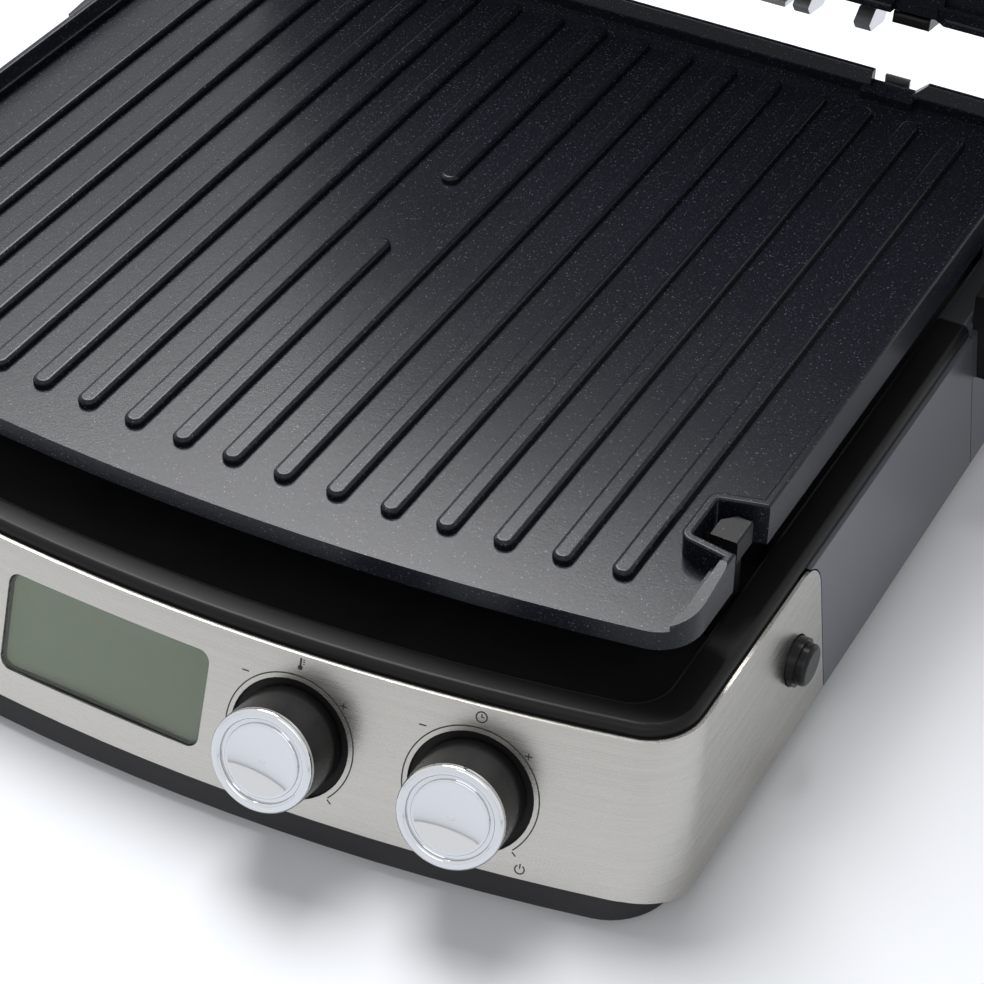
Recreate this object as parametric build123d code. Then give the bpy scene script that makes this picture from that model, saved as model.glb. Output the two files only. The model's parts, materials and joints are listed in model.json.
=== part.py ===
from build123d import *
import os
from math import cos, radians, sin, tan

# An open electric contact grill, in millimetres: X to the right, Y to the back, Z up from the table.
# Everything is drawn with X = Y = 0 under the middle of the lower cooking plate, and the whole model
# is moved back or forward once, when it is written, so that the row's origin lies under the middle of
# the open grill. Fronts and rears are distances from Y = 0. What follows another piece takes its size
# from that piece and one named distance.
ORIGIN_BEHIND_PLATE_CENTRE = 32.0

# ---- Heights over the table ----
TRAY_UNDERSIDE_Z = 2.6
PANEL_BOTTOM_Z = 5.0
BAND_BOTTOM_Z = 9.3
BAND_TOP_Z = 55.0
DECK_H = 3.5
DECK_TOP_Z = BAND_TOP_Z + DECK_H
COOK_OVER_DECK = 21.5
LOWER_COOK_Z = DECK_TOP_Z + COOK_OVER_DECK
RIM_GAP = 1.0

# ---- General clearances ----
SKIN_GAP = 0.2
SEAT_GAP = 0.1
FIT = 0.05
SCREW_FIT = 0.3

# ---- Cooking plates ----
PLATE_HALF_W = 162.5
PLATE_FRONT = 150.8
PLATE_REAR = 142.5
PLATE_BOW = 16.0
PLATE_CORNER_R = 14.0
PLATE_T = 4.5
SKIRT_DROP = 6.5
SKIRT_T = 3.0
RIM_H = 7.4
RIM_FOOT = 5.2
RIM_LEDGE = 4.2
RIM_LEDGE_Z = 3.0
RIM_TOP = 2.6
RIM_TAPER_INSET = 7.8
RIM_TAPER_L = 33.5
RIM_TAPER_END = PLATE_FRONT - RIM_TAPER_INSET
RIM_TAPER_START = RIM_TAPER_END - RIM_TAPER_L
NOTCH_DEPTH = 14.0
NOTCH_X = PLATE_HALF_W - NOTCH_DEPTH
NOTCH_FRONT_INSET = 45.6
NOTCH_FRONT = PLATE_FRONT - NOTCH_FRONT_INSET
NOTCH_L = 22.2
NOTCH_REAR = NOTCH_FRONT - NOTCH_L
NOTCH_FLARE_FRONT = 2.0
NOTCH_FLARE_REAR = 3.9
NOTCH_WALL = 3.0
NOTCH_CORNER_R = 1.2
RIM_EDGE_R = 0.8
REAR_NOTCH_INSET = 49.5
REAR_NOTCH_W = 15.0
REAR_NOTCH_X1 = PLATE_HALF_W - REAR_NOTCH_INSET
REAR_NOTCH_X0 = REAR_NOTCH_X1 - REAR_NOTCH_W
REAR_NOTCH_SLOPE = 6.0
REAR_NOTCH_Z = 2.8
REAR_NOTCH_SILL = 4.0
REAR_NOTCH_SILL_PAST = 2.0
RIDGE_PITCH = 17.0
RIDGE_W = 6.4
RIDGE_H = 2.4
RIDGES_A_SIDE = int((NOTCH_X - NOTCH_WALL - RIDGE_W) / RIDGE_PITCH)
RIDGE_FRONT_INSET = 16.6
RIDGE_REAR_INSET = 13.5
RIDGE_FRONT = PLATE_FRONT - RIDGE_FRONT_INSET
RIDGE_REAR = PLATE_REAR - RIDGE_REAR_INSET
RIDGE_FRONT_BOW = 11.9
RIDGE_REAR_BOW = 4.8
RIDGE_GAP_HALF = 18.8
PLATE_BOW_K = PLATE_BOW / PLATE_HALF_W**2

# ---- Heater parts, measured from the cooking surface into the housing ----
PAN_SIDE_INSET = 24.5
PAN_FRONT_INSET = 20.8
PAN_REAR_INSET = 10.5
PAN_HALF_W = PLATE_HALF_W - PAN_SIDE_INSET
PAN_FRONT = PLATE_FRONT - PAN_FRONT_INSET
PAN_REAR = PLATE_REAR - PAN_REAR_INSET
PAN_R = 16.0
PAN_T = 0.8
PAN_FLOOR_DEPTH = 22.0
PAN_TOP_DEPTH = 10.0
ELEMENT_R = 3.25
ELEMENT_GAP = 0.05
ELEMENT_BEND_R = 30.0
ELEMENT_SIDE_INSET = 28.0
ELEMENT_FRONT_INSET = 18.0
ELEMENT_REAR_INSET = 20.0
ELEMENT_HALF_W = PAN_HALF_W - ELEMENT_SIDE_INSET
ELEMENT_FRONT = PAN_FRONT - ELEMENT_FRONT_INSET
ELEMENT_END_Y = PAN_REAR - ELEMENT_REAR_INSET
ELEMENT_TURN_L = 42.0
ELEMENT_TURN_Y = ELEMENT_END_Y - ELEMENT_TURN_L
ELEMENT_INNER_X = 37.0
PAN_STRAP_Y = 60.0
PAN_STRAP_HALF_W = 6.0
TERMINAL_SIZE = 11.0
THERMOSTAT_R = 8.0
THERMOSTAT_H = 6.0

# ---- Base outline at the top edge of the steel band ----
BODY_SIDE_MARGIN = 8.0
BODY_FRONT_MARGIN = 20.2
BODY_REAR_MARGIN = 29.5
BODY_HALF_W = PLATE_HALF_W + BODY_SIDE_MARGIN
BODY_FRONT = PLATE_FRONT + BODY_FRONT_MARGIN
BODY_REAR = PLATE_REAR + BODY_REAR_MARGIN
BOW_DEPTH = 21.8
BOW_K = BOW_DEPTH / BODY_HALF_W**2
FRONT_CORNER_R = 18.0
REAR_CORNER_R = 14.0
FRONT_LEAN = 20.7
SIDE_LEAN = 6.1
REAR_LEAN = 2.0
CORNER_FLARE = 0.045
TAN_LEAN = tan(radians(FRONT_LEAN))
COS_LEAN = cos(radians(FRONT_LEAN))

# ---- Base housing ----
BAND_T = 1.0
PANEL_T = 2.5
COVER_T = 3.0
WALL_T = 2.5
BAND_END_R = 10.0
BAND_STEP_FRONT_INSET = 3.0
BAND_STEP_L = 18.0
SEAM_GAP = 0.5
DECK_EDGE_INSET = 1.6
DECK_EDGE_R = 2.4
WELL_SIDE_INSET = 5.0
WELL_REAR_MARGIN = 7.5
DECK_FRONT_W = 11.5
WELL_HALF_W = PLATE_HALF_W - WELL_SIDE_INSET
WELL_FRONT = BODY_FRONT - DECK_FRONT_W
WELL_REAR = PLATE_REAR + WELL_REAR_MARGIN
WELL_R = 12.0
WELL_DEPTH = 11.0
WELL_FLOOR_Z = BAND_TOP_Z - WELL_DEPTH
TUB_T = 2.5
TUB_WALL_H = 5.9
TUB_OVERLAP = 3.5
LIP_TOP_Z = BAND_TOP_Z + SKIN_GAP
LIP_H = 5.2
REST_R = 4.0
REST_INSET = 12.5
REST_BEHIND_NOTCH = 23.0
REST_REAR_INSET = 32.5
REST_X = PLATE_HALF_W - REST_INSET
REST_FRONT_Y = -(NOTCH_REAR - REST_BEHIND_NOTCH)
REST_REAR_Y = PLATE_REAR - REST_REAR_INSET
PAN_REST_INSET_X = 38.0
PAN_REST_INSET_Y = 37.0
PAN_REST_X = PAN_HALF_W - PAN_REST_INSET_X
PAN_REST_Y = PAN_REAR - PAN_REST_INSET_Y
TAB_SIDE_GAP = 3.0
TAB_X0 = REAR_NOTCH_X0 + TAB_SIDE_GAP
TAB_X1 = REAR_NOTCH_X1 - TAB_SIDE_GAP
TAB_GAP = 1.7
TAB_Y = PLATE_REAR + TAB_GAP
TAB_T = 1.2
TAB_TOP = 4.5
TAB_FOOT = 6.0
TRAY_SIDE_INSET = 4.5
TRAY_REAR_INSET = 3.6
TRAY_FLOOR_T = 2.4
TRAY_WALL_T = 2.6
TRAY_GAP = 0.4
TRAY_FLOOR_Z = TRAY_UNDERSIDE_Z + TRAY_FLOOR_T
FOOT_R = 8.0
FOOT_SIDE_INSET = 32.5
FOOT_FRONT_INSET = 21.0
FOOT_REAR_INSET = 24.0
FOOT_X = BODY_HALF_W - FOOT_SIDE_INSET
FOOT_FRONT_Y = -(BODY_FRONT - FOOT_FRONT_INSET)
FOOT_REAR_Y = BODY_REAR - FOOT_REAR_INSET
FOOT_STEM_R = 2.5
FOOT_STEM_H = 6.0
SCREW_SIDE_INSET = 30.5
SCREW_FRONT_INSET = 46.0
SCREW_REAR_INSET = 50.0
SCREW_X = BODY_HALF_W - SCREW_SIDE_INSET
SCREW_FRONT_Y = -(BODY_FRONT - SCREW_FRONT_INSET)
SCREW_REAR_Y = BODY_REAR - SCREW_REAR_INSET
SCREW_L = 14.0
SCREW_HEAD_H = 2.0
SCREW_R = 1.5
SCREW_HEAD_R = 3.2
SCREW_POST_R = 4.5
CORD_HOLE_R = 4.2
CORD_HOLE_X = 120.0
CORD_HOLE_Z = 20.0
VENT_W = 3.0
VENT_PITCH = 9.0
VENT_COUNT = 14
VENT_DROP = 5.0
VENT_L = 14.0
VENT_Z1 = BAND_TOP_Z - VENT_DROP
VENT_Z0 = VENT_Z1 - VENT_L

# ---- Fascia, measured down the sloped front from the band's top edge ----
DISPLAY_W = 69.4
DISPLAY_H = 30.4
DISPLAY_R = 3.5
DISPLAY_ALONG = 23.9
DISPLAY_MARGIN = 2.4
DISPLAY_GAP = 0.3
LENS_T = 1.2
LENS_DEPTH = 1.4
MODULE_T = 3.0
GLASS_T = 2.3
GLASS_INSET = 0.5
BOARD_T = 1.6
BOARD_PAST_DISPLAY = 10.0
BOARD_SHORT = 2.0
CHIP_SIZE = (12.0, 12.0, 1.8)
CHIP_X = 10.0
PLUG_SIZE = (10.0, 6.0, 5.0)
PLUG_AT = (-30.0, -6.0)
KNOB_X = (62.5, 116.7)
KNOB_ALONG = 26.4
KNOB_R = 15.9
KNOB_RING = 2.5
KNOB_SUNK = 0.5
KNOB_TOP = 15.2
KNOB_WALL_T = 2.2
KNOB_FACE_T = 4.0
KNOB_TAPER = 1.2
HUB_T = 2.4
HUB_START = 1.2
CAP_R = 15.5
CAP_T = 2.1
CAP_BEAD_W = 3.0
CAP_GROOVE_W = 1.2
CAP_RING_W = 0.9
CAP_GROOVE_H = 0.9
CAP_RING_H = 1.6
CAP_DISH_H = 1.1
CAP_BEAD_R = 0.95
CAP_RING_R = 0.4
SHAFT_R = 3.0
SHAFT_L = 4.0
BUSH_R = 3.6
BUSH_PROUD = 0.3
BUSH_HOLE_GAP = 0.4
ENCODER_SIZE = 13.0
ENCODER_T = 6.5

# ---- Plate release buttons and latches ----
BUTTON_BEHIND_NOTCH = 25.7
BUTTON_Y = BUTTON_BEHIND_NOTCH - NOTCH_FRONT
BUTTON_UNDER_BAND = 24.5
BUTTON_Z = BAND_TOP_Z - BUTTON_UNDER_BAND
BUTTON_R = 7.6
BUTTON_CAP_R = 6.5
BUTTON_STEP = 2.2
BUTTON_PROUD = 5.4
BUTTON_GAP = 0.4
BUTTON_ROD_R = 3.0
BUTTON_TRAVEL = 2.0
BAND_PAST_BUTTON = 18.5
BAND_END_Y = -BUTTON_Y - BAND_PAST_BUTTON
LATCH_SIDE_GAP = 2.7
LATCH_W = 5.6
LATCH_LIP = 2.8
LATCH_X0 = NOTCH_X + LATCH_SIDE_GAP
LATCH_X1 = LATCH_X0 + LATCH_W
LATCH_HEAD_X1 = LATCH_X1 + LATCH_LIP
LATCH_END_GAP = 4.2
LATCH_L = 10.1
LATCH_REAR = NOTCH_REAR + LATCH_END_GAP
LATCH_FRONT = LATCH_REAR + LATCH_L
LATCH_TOP = 3.6
LATCH_HEAD_H = 7.6
LATCH_HEAD_BEVEL = 0.5
LATCH_CORNER_CUT = 3.4
LATCH_FOOT_PAST = 7.5
LATCH_FOOT_REAR = -BUTTON_Y - LATCH_FOOT_PAST
LATCH_FOOT_HALF_Z = 6.5
LATCH_CLEAR = 0.6
LID_BUTTON_DEPTH = 18.0
LID_BUTTON_PROUD = 4.4
SPRING_ROOM = 12.2
SPRING_POST_T = 2.0
SPRING_POST_X0 = LATCH_X0 - SPRING_ROOM
SPRING_POST_X1 = SPRING_POST_X0 + SPRING_POST_T
SPRING_POST_HALF_Y = 6.5
SPRING_POST_PAST = 2.0
SPRING_R = 4.5
SPRING_WIRE_R = 0.4
SPRING_TURNS = 4

# ---- Grease tray, sliding out at the back ----
GREASE_HALF_W = 62.0
GREASE_FRONT_INSET = 19.0
GREASE_REAR_INSET = 1.0
GREASE_FRONT = BODY_FRONT - GREASE_FRONT_INSET
GREASE_REAR = BODY_REAR - GREASE_REAR_INSET
GREASE_Z = 9.0
GREASE_H = 21.0
GREASE_T = 1.6
GREASE_CORNER_R = 6.0
GREASE_LIP_HALF_W = 70.0
GREASE_LIP_T = 3.0
GREASE_LIP_GAP = 1.0
GREASE_LIP_BELOW = 2.0
GREASE_LIP_ABOVE = 3.0
GREASE_SLOT_GAP = 1.2
RAIL_X = 45.0
RAIL_W = 5.0
GUIDE_T = 2.0
GUIDE_H = 9.0
GUIDE_GAP = 0.5
DRAIN_R = 6.0
DRAIN_INSET = 14.0
DRAIN_Y = -(PAN_FRONT - DRAIN_INSET)
DRAIN_WALL = 2.0
DRAIN_DROP = 11.0

# ---- Power electronics, beside the grease tray ----
POWER_GAP = 14.0
POWER_W = 56.0
POWER_X0 = GREASE_HALF_W + POWER_GAP
POWER_X1 = POWER_X0 + POWER_W
POWER_Y0 = -60.0
POWER_Y1 = 40.0
POWER_Z = 12.0
POWER_POST_INSET = 5.0
HEAT_SINK_SIZE = (3.0, 30.0, 18.0)
HEAT_SINK_AT = (35.5, 27.0)
TERMINAL_ROW_SIZE = (10.0, 32.0, 8.0)
TERMINAL_ROW_AT = (47.0, 76.0)
RELAY_SIZE = (19.0, 15.0, 15.0)
RELAY_AT = (16.0, 20.0)
TRANSFORMER_SIZE = (30.0, 26.0, 22.0)
TRANSFORMER_AT = (24.0, 72.0)

# ---- Lid outline (the lid is drawn closed, then turned open) ----
LID_SIDE_MARGIN = 4.0
LID_FRONT_MARGIN = 13.7
LID_REAR_INSET = 2.5
LID_HALF_W = PLATE_HALF_W + LID_SIDE_MARGIN
LID_FRONT = PLATE_FRONT + LID_FRONT_MARGIN
LID_REAR = PLATE_REAR - LID_REAR_INSET
LID_CORNER_R = 16.0
LID_DEPTH = 7.6
LID_BEZEL_H = 21.0
LID_FLANGE_T = 3.0
LID_WALL_T = 2.5
LID_OPENING_SIDE = 9.0
LID_OPENING_FRONT_W = 12.5
LID_OPENING_REAR_W = 5.5
LID_EDGE_R = 1.2
LID_SHELL_H = 27.0
LID_SHELL_T = 1.0
LID_SHELL_TAPER = 6.0
LID_SHELL_R = 9.0
LID_SCREW_INSET_X = 46.5
LID_SCREW_INSET_Y = 40.0
LID_SCREW_X = LID_HALF_W - LID_SCREW_INSET_X
LID_SCREW_Y = LID_REAR - LID_SCREW_INSET_Y
UPPER_COOK_Z = LOWER_COOK_Z + 2 * RIM_H + RIM_GAP
LID_Z0 = UPPER_COOK_Z + LID_DEPTH
LID_Z1 = LID_Z0 + LID_BEZEL_H
LID_BUTTON_Z = UPPER_COOK_Z + LID_BUTTON_DEPTH

# ---- Hinge and lid frame ----
OPEN_ANGLE = 100.0
HINGE_BEHIND_PLATE = 10.5
HINGE_OVER_PLATE = 13.5
HINGE_Y = PLATE_REAR + HINGE_BEHIND_PLATE
HINGE_Z = LOWER_COOK_Z + HINGE_OVER_PLATE
POST_LID_GAP = 1.7
POST_W = 17.8
POST_X0 = LID_HALF_W + POST_LID_GAP
POST_X1 = POST_X0 + POST_W
POST_L = 91.0
POST_SHOULDER_L = 33.0
POST_SHOULDER_DROP = 20.5
POST_UNDER_BAND = 18.0
POST_OVER_DECK = 9.5
POST_R = 14.5
POST_NECK = 11.6
POST_EDGE_R = 2.0
POST_FRONT_Y = HINGE_Y - POST_L
POST_BOTTOM_Z = BAND_TOP_Z - POST_UNDER_BAND
POST_FRONT_Z = DECK_TOP_Z + POST_OVER_DECK
POST_SHOULDER_Y = HINGE_Y - POST_SHOULDER_L
POST_SHOULDER_Z = HINGE_Z - POST_SHOULDER_DROP
POST_REAR_Y = HINGE_Y + POST_R
POST_GAP = 0.2
SEAM_AHEAD = 4.0
SEAM_Y = POST_FRONT_Y - SEAM_AHEAD
CHEEK_T = 4.4
CHEEK_GAP = 0.4
CLEVIS_X0 = POST_X0 + CHEEK_T
CLEVIS_X1 = POST_X1 - CHEEK_T
SWING_R = 18.5
PIN_R = 4.0
PIN_INSET = 1.4
PIN_END_GAP = 0.2
ARM_T = 11.0
ARM_X0 = CLEVIS_X0 + CHEEK_GAP
ARM_X1 = ARM_X0 + ARM_T
ARM_RISE = 26.5
ARM_Z = HINGE_Z + ARM_RISE
ARM_R = 12.0
ARM_ROOT_L = 48.0
ARM_ROOT_Y = HINGE_Y - ARM_ROOT_L
HANDLE_REACH = 29.0
HANDLE_Y = -(BODY_FRONT + HANDLE_REACH)
HANDLE_R = 11.0
GRIP_R = 12.5
GRIP_L = 14.0
GRIP_EDGE_R = 1.5
HANDLE_SCREW_R = 2.0
HANDLE_SCREW_FIT = 0.2
HANDLE_SCREW_HEAD_R = 5.0
HANDLE_SCREW_HEAD_H = 1.6
HANDLE_SCREW_L = 26.0
HANDLE_SCREW_SPARE = 2.0
FLOAT = 10.0
FLOAT_PIN_R = 3.0
FLOAT_PIN_Y = (-50.0, 50.0)
FLOAT_PIN_PAST = 1.0
FLOAT_BOSS_R = 6.0
FLOAT_BOSS_L = 4.0
FLOAT_HEAD_R = 5.0
FLOAT_HEAD_T = 1.2
FLOAT_HEAD_GAP = 0.2

# ---- Back of the lid ----
HOOK_OVERHANG = 0.5
HOOK_SHORT = 2.0
HOOK_X0 = REAR_NOTCH_X0 - HOOK_OVERHANG
HOOK_X1 = REAR_NOTCH_X1 - HOOK_SHORT
HOOK_GAP = 0.8
HOOK_DROP = 10.4
HOOK_ROOT_H = 10.0
HOOK_EDGE_R = 1.2
LID_BUMP_INSET = 7.5
LID_BUMP_L = 7.5
LID_BUMP_ROOT = 6.0
LID_BUMP_HALF_W = HOOK_X0 - LID_BUMP_INSET
LID_BUMP_REAR = LID_REAR + LID_BUMP_L
HOOK_REAR = LID_BUMP_REAR
TONGUE_INSETS = (34.5, 11.5)
TONGUE_X = tuple(HOOK_X0 - inset for inset in TONGUE_INSETS)
TONGUE_HALF_W = 3.0
TONGUE_DROP = 7.0
TONGUE_NOSE = 3.0
TONGUE_ROOT_DROP = 3.0
TONGUE_REAR_H = 8.0
TONGUE_ROOT_H = 12.0
STRIP_BEHIND_LID = 6.5
STRIP_REAR = LID_BUMP_REAR + STRIP_BEHIND_LID
TONGUE_PAST_STRIP = 1.0
TONGUE_REAR = STRIP_REAR + TONGUE_PAST_STRIP
STRIP_END_GAP = 3.0
STRIP_HALF_W = TONGUE_X[0] - TONGUE_HALF_W - STRIP_END_GAP
STRIP_T = 2.0
STRIP_DROP = 6.0
STRIP_TOP_GAP = 1.0
STRIP_SHELF_UP = 4.0


# ---- Drawing helpers ----
def outline(half_w, front, rear, bow_k, front_r, rear_r):
    """A rounded plan outline whose front edge bows forward; front and rear are distances from Y = 0."""
    side_y = -front + bow_k * half_w**2
    left, nose, right = (-half_w, side_y), (0, -front), (half_w, side_y)
    edges = ThreePointArc(left, nose, right) + Line(right, (half_w, rear))
    edges += Line((half_w, rear), (-half_w, rear)) + Line((-half_w, rear), left)
    face = make_face(edges)
    corners = face.vertices().sort_by(Axis.Y)
    face = fillet(corners[:2], front_r)
    corners = face.vertices().sort_by(Axis.Y)
    return fillet(corners[-2:], rear_r)


def at_height(face, z):
    return Pos(0, 0, z) * face


def prism(face, z0, z1):
    return extrude(at_height(face, z0), amount=z1 - z0)


def box(x0, x1, y0, y1, z0, z1):
    middle = Pos((x0 + x1) / 2, (y0 + y1) / 2, (z0 + z1) / 2)
    return middle * Box(x1 - x0, y1 - y0, z1 - z0)


def both_sides(shape):
    return Compound([*shape.solids(), *mirror(shape, Plane.YZ).solids()])


def rod_x(radius, x0, x1, y, z):
    return Pos((x0 + x1) / 2, y, z) * Rot(0, 90, 0) * Cylinder(radius, x1 - x0)


def rod_z(radius, x, y, z0, z1):
    return Pos(x, y, (z0 + z1) / 2) * Cylinder(radius, z1 - z0)


def side_profile(points, x0, x1):
    """A solid between x0 and x1 with the given outline of (y, z) points."""
    face = make_face(Polyline([(x0, y, z) for y, z in points], close=True))
    return extrude(face, amount=x1 - x0, dir=(1, 0, 0))


# ---- Base outline ----
def body_outline(z, inset=0.0):
    drop = BAND_TOP_Z - z
    return at_height(
        outline(
            BODY_HALF_W + drop * tan(radians(SIDE_LEAN)) - inset,
            BODY_FRONT + drop * TAN_LEAN - inset / COS_LEAN,
            BODY_REAR + drop * tan(radians(REAR_LEAN)) - inset,
            BOW_K,
            FRONT_CORNER_R + drop * CORNER_FLARE - inset,
            REAR_CORNER_R - inset,
        ),
        z,
    )


def body_block(z0, z1, inset):
    return loft([body_outline(z0, inset), body_outline(z1, inset)], ruled=True)


def body_skin(z0, z1, inset, thickness):
    inner = body_block(z0 - 1, z1 + 1, inset + thickness)
    return body_block(z0, z1, inset) - inner


def fascia_plane(x, along):
    """A plane on the sloped fascia, facing out; along is the distance down from the band's top edge."""
    slope = 2 * BOW_K * x
    y = -BODY_FRONT + BOW_K * x**2 - along * sin(radians(FRONT_LEAN))
    z = BAND_TOP_Z - along * COS_LEAN
    return Plane(origin=(x, y, z), x_dir=(1, slope, 0), z_dir=(slope, -1, TAN_LEAN))


def side_x(z, inset=0.0):
    """How far out the base's side wall is at height z."""
    return BODY_HALF_W + (BAND_TOP_Z - z) * tan(radians(SIDE_LEAN)) - inset


# ---- Cooking plates: drawn with the cooking surface at Z = 0, facing up ----
def plate_outline(inset, extra_front=0.0):
    return outline(
        PLATE_HALF_W - inset,
        PLATE_FRONT - inset + extra_front,
        PLATE_REAR - inset,
        PLATE_BOW_K,
        PLATE_CORNER_R - inset,
        PLATE_CORNER_R - inset,
    )


def ridge(x, y0, y1):
    bar = extrude(Pos(x, (y0 + y1) / 2) * Rot(0, 0, 90) * SlotOverall(y1 - y0, RIDGE_W), RIDGE_H)
    return fillet(bar.edges().group_by(Axis.Z)[-1], RIDGE_H * 0.6)


def ridges():
    edge_x = RIDGES_A_SIDE * RIDGE_PITCH
    bars = []
    for number in range(-RIDGES_A_SIDE, RIDGES_A_SIDE + 1):
        x = number * RIDGE_PITCH
        front = -RIDGE_FRONT + RIDGE_FRONT_BOW * (x / edge_x) ** 2
        rear = RIDGE_REAR - RIDGE_REAR_BOW * (x / edge_x) ** 2
        if number == 0:
            bars += [ridge(x, front, -RIDGE_GAP_HALF), ridge(x, RIDGE_GAP_HALF, rear)]
        else:
            bars.append(ridge(x, front, rear))
    return bars


def pan_recess():
    """The space inside the rim, open at the front, with the small ledge part way up its wall."""
    past_front = 40.0
    foot = prism(plate_outline(RIM_FOOT, past_front), 0, RIM_LEDGE_Z)
    ledge = at_height(plate_outline(RIM_LEDGE, past_front), RIM_LEDGE_Z)
    top = at_height(plate_outline(RIM_TOP, past_front), RIM_H + 0.01)
    return foot + loft([ledge, top], ruled=True)


def side_notch_outline():
    """The side notch seen from above: it widens towards the edge of the plate."""
    beyond = PLATE_HALF_W + 1
    corners = [
        (NOTCH_X, -NOTCH_FRONT + NOTCH_FLARE_FRONT),
        (PLATE_HALF_W, -NOTCH_FRONT),
        (beyond, -NOTCH_FRONT),
        (beyond, -NOTCH_REAR),
        (PLATE_HALF_W, -NOTCH_REAR),
        (NOTCH_X, -NOTCH_REAR - NOTCH_FLARE_REAR),
    ]
    face = make_face(Polyline(corners, close=True))
    return fillet(face.vertices().group_by(Axis.X)[0], NOTCH_CORNER_R)


def side_notch_walls():
    face = offset(side_notch_outline(), NOTCH_WALL, kind=Kind.ARC)
    reach = NOTCH_FRONT + 2 * NOTCH_WALL
    inside = box(NOTCH_X - 2 * NOTCH_WALL, PLATE_HALF_W, -reach, 0, -SKIRT_DROP, RIM_H)
    return prism(face, -SKIRT_DROP, RIM_H) & inside


def side_notch_cut():
    return prism(side_notch_outline(), -SKIRT_DROP - 1, RIM_H + 1)


def rear_notch_cut():
    y0, y1 = PLATE_REAR - RIM_FOOT - 2, PLATE_REAR + 1
    low, high = REAR_NOTCH_Z, RIM_H + 1
    slope_x = REAR_NOTCH_X1 + REAR_NOTCH_SLOPE
    points = [(REAR_NOTCH_X0, low), (REAR_NOTCH_X1, low), (slope_x, high), (REAR_NOTCH_X0, high)]
    face = make_face(Polyline([(x, y0, z) for x, z in points], close=True))
    return extrude(face, amount=y1 - y0, dir=(0, 1, 0))


def rear_notch_sill():
    """The low step inside the rim in front of a rear notch."""
    x0, x1 = REAR_NOTCH_X0 - REAR_NOTCH_SILL_PAST, REAR_NOTCH_X1 + REAR_NOTCH_SILL_PAST
    foot_y = PLATE_REAR - RIM_FOOT
    return box(x0, x1, foot_y - REAR_NOTCH_SILL, foot_y + 1, -PLATE_T, REAR_NOTCH_Z)


def rim_taper_cut():
    points = [
        (-RIM_TAPER_START, RIM_H),
        (-RIM_TAPER_END, 0),
        (-PLATE_FRONT - 1, 0),
        (-PLATE_FRONT - 1, RIM_H + 1),
        (-RIM_TAPER_START, RIM_H + 1),
    ]
    return side_profile(points, -PLATE_HALF_W - 1, PLATE_HALF_W + 1)


def rim_edges(plate):
    """The sharp edges round the top of the rim."""
    low, high = RIM_H - FIT, RIM_H + FIT
    return [edge for edge in plate.edges() if low < edge.bounding_box().min.Z < high]


def grill_plate():
    plate = prism(plate_outline(0), -SKIRT_DROP, RIM_H) - pan_recess()
    plate -= rim_taper_cut()
    plate -= prism(plate_outline(SKIRT_T), -SKIRT_DROP - 1, -PLATE_T)
    walls = side_notch_walls() + rear_notch_sill()
    cut = side_notch_cut() + rear_notch_cut()
    plate = plate + walls + mirror(walls, Plane.YZ)
    plate = plate - cut - mirror(cut, Plane.YZ)
    plate = fillet(rim_edges(plate), RIM_EDGE_R)
    for bar in ridges():
        plate += bar
    return plate


# ---- Heater parts: drawn behind the cooking surface, which is at Z = 0 facing up ----
def heating_element():
    z = -PLATE_T - ELEMENT_GAP - ELEMENT_R
    points = [
        (-ELEMENT_HALF_W, ELEMENT_END_Y, z),
        (-ELEMENT_HALF_W, -ELEMENT_FRONT, z),
        (-ELEMENT_INNER_X, -ELEMENT_FRONT, z),
        (-ELEMENT_INNER_X, ELEMENT_TURN_Y, z),
        (ELEMENT_INNER_X, ELEMENT_TURN_Y, z),
        (ELEMENT_INNER_X, -ELEMENT_FRONT, z),
        (ELEMENT_HALF_W, -ELEMENT_FRONT, z),
        (ELEMENT_HALF_W, ELEMENT_END_Y, z),
    ]
    path = FilletPolyline(*points, radius=ELEMENT_BEND_R)
    section = Plane(origin=path @ 0, z_dir=path % 0) * Circle(ELEMENT_R)
    return sweep(section, path=path)


def pan_outline(inset):
    return outline(PAN_HALF_W - inset, PAN_FRONT - inset, PAN_REAR - inset, PLATE_BOW_K, PAN_R, PAN_R)


def reflector_pan():
    shell = prism(pan_outline(0), -PAN_FLOOR_DEPTH, -PAN_TOP_DEPTH)
    shell -= prism(pan_outline(PAN_T), -PAN_FLOOR_DEPTH + PAN_T, -PAN_TOP_DEPTH + 1)
    top = -PLATE_T - 2 * (ELEMENT_GAP + ELEMENT_R)
    bars = []
    for y in (-PAN_STRAP_Y, PAN_STRAP_Y):
        for x in (-ELEMENT_HALF_W, -ELEMENT_INNER_X, ELEMENT_INNER_X, ELEMENT_HALF_W):
            floor = -PAN_FLOOR_DEPTH + PAN_T
            x0, x1 = x - PAN_STRAP_HALF_W, x + PAN_STRAP_HALF_W
            bars.append(box(x0, x1, y - PAN_T / 2, y + PAN_T / 2, floor, top))
    for bar in bars:
        shell += bar
    return shell


def element_terminals():
    """A ceramic block on each end of the element, with its tab."""
    z = -PLATE_T - ELEMENT_GAP - ELEMENT_R
    half = TERMINAL_SIZE / 2
    block = box(
        ELEMENT_HALF_W - half,
        ELEMENT_HALF_W + half,
        ELEMENT_END_Y,
        ELEMENT_END_Y + TERMINAL_SIZE,
        -PAN_FLOOR_DEPTH + PAN_T,
        z + ELEMENT_R,
    )
    return both_sides(block)


def thermostat():
    base_z = -PAN_FLOOR_DEPTH + PAN_T
    top_z = -PLATE_T - ELEMENT_GAP
    post = rod_z(THERMOSTAT_R / 2, 0, 0, base_z, top_z - THERMOSTAT_H)
    return post + rod_z(THERMOSTAT_R, 0, 0, top_z - THERMOSTAT_H, top_z)


def facing_up(shape):
    return Pos(0, 0, LOWER_COOK_Z) * shape


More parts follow.
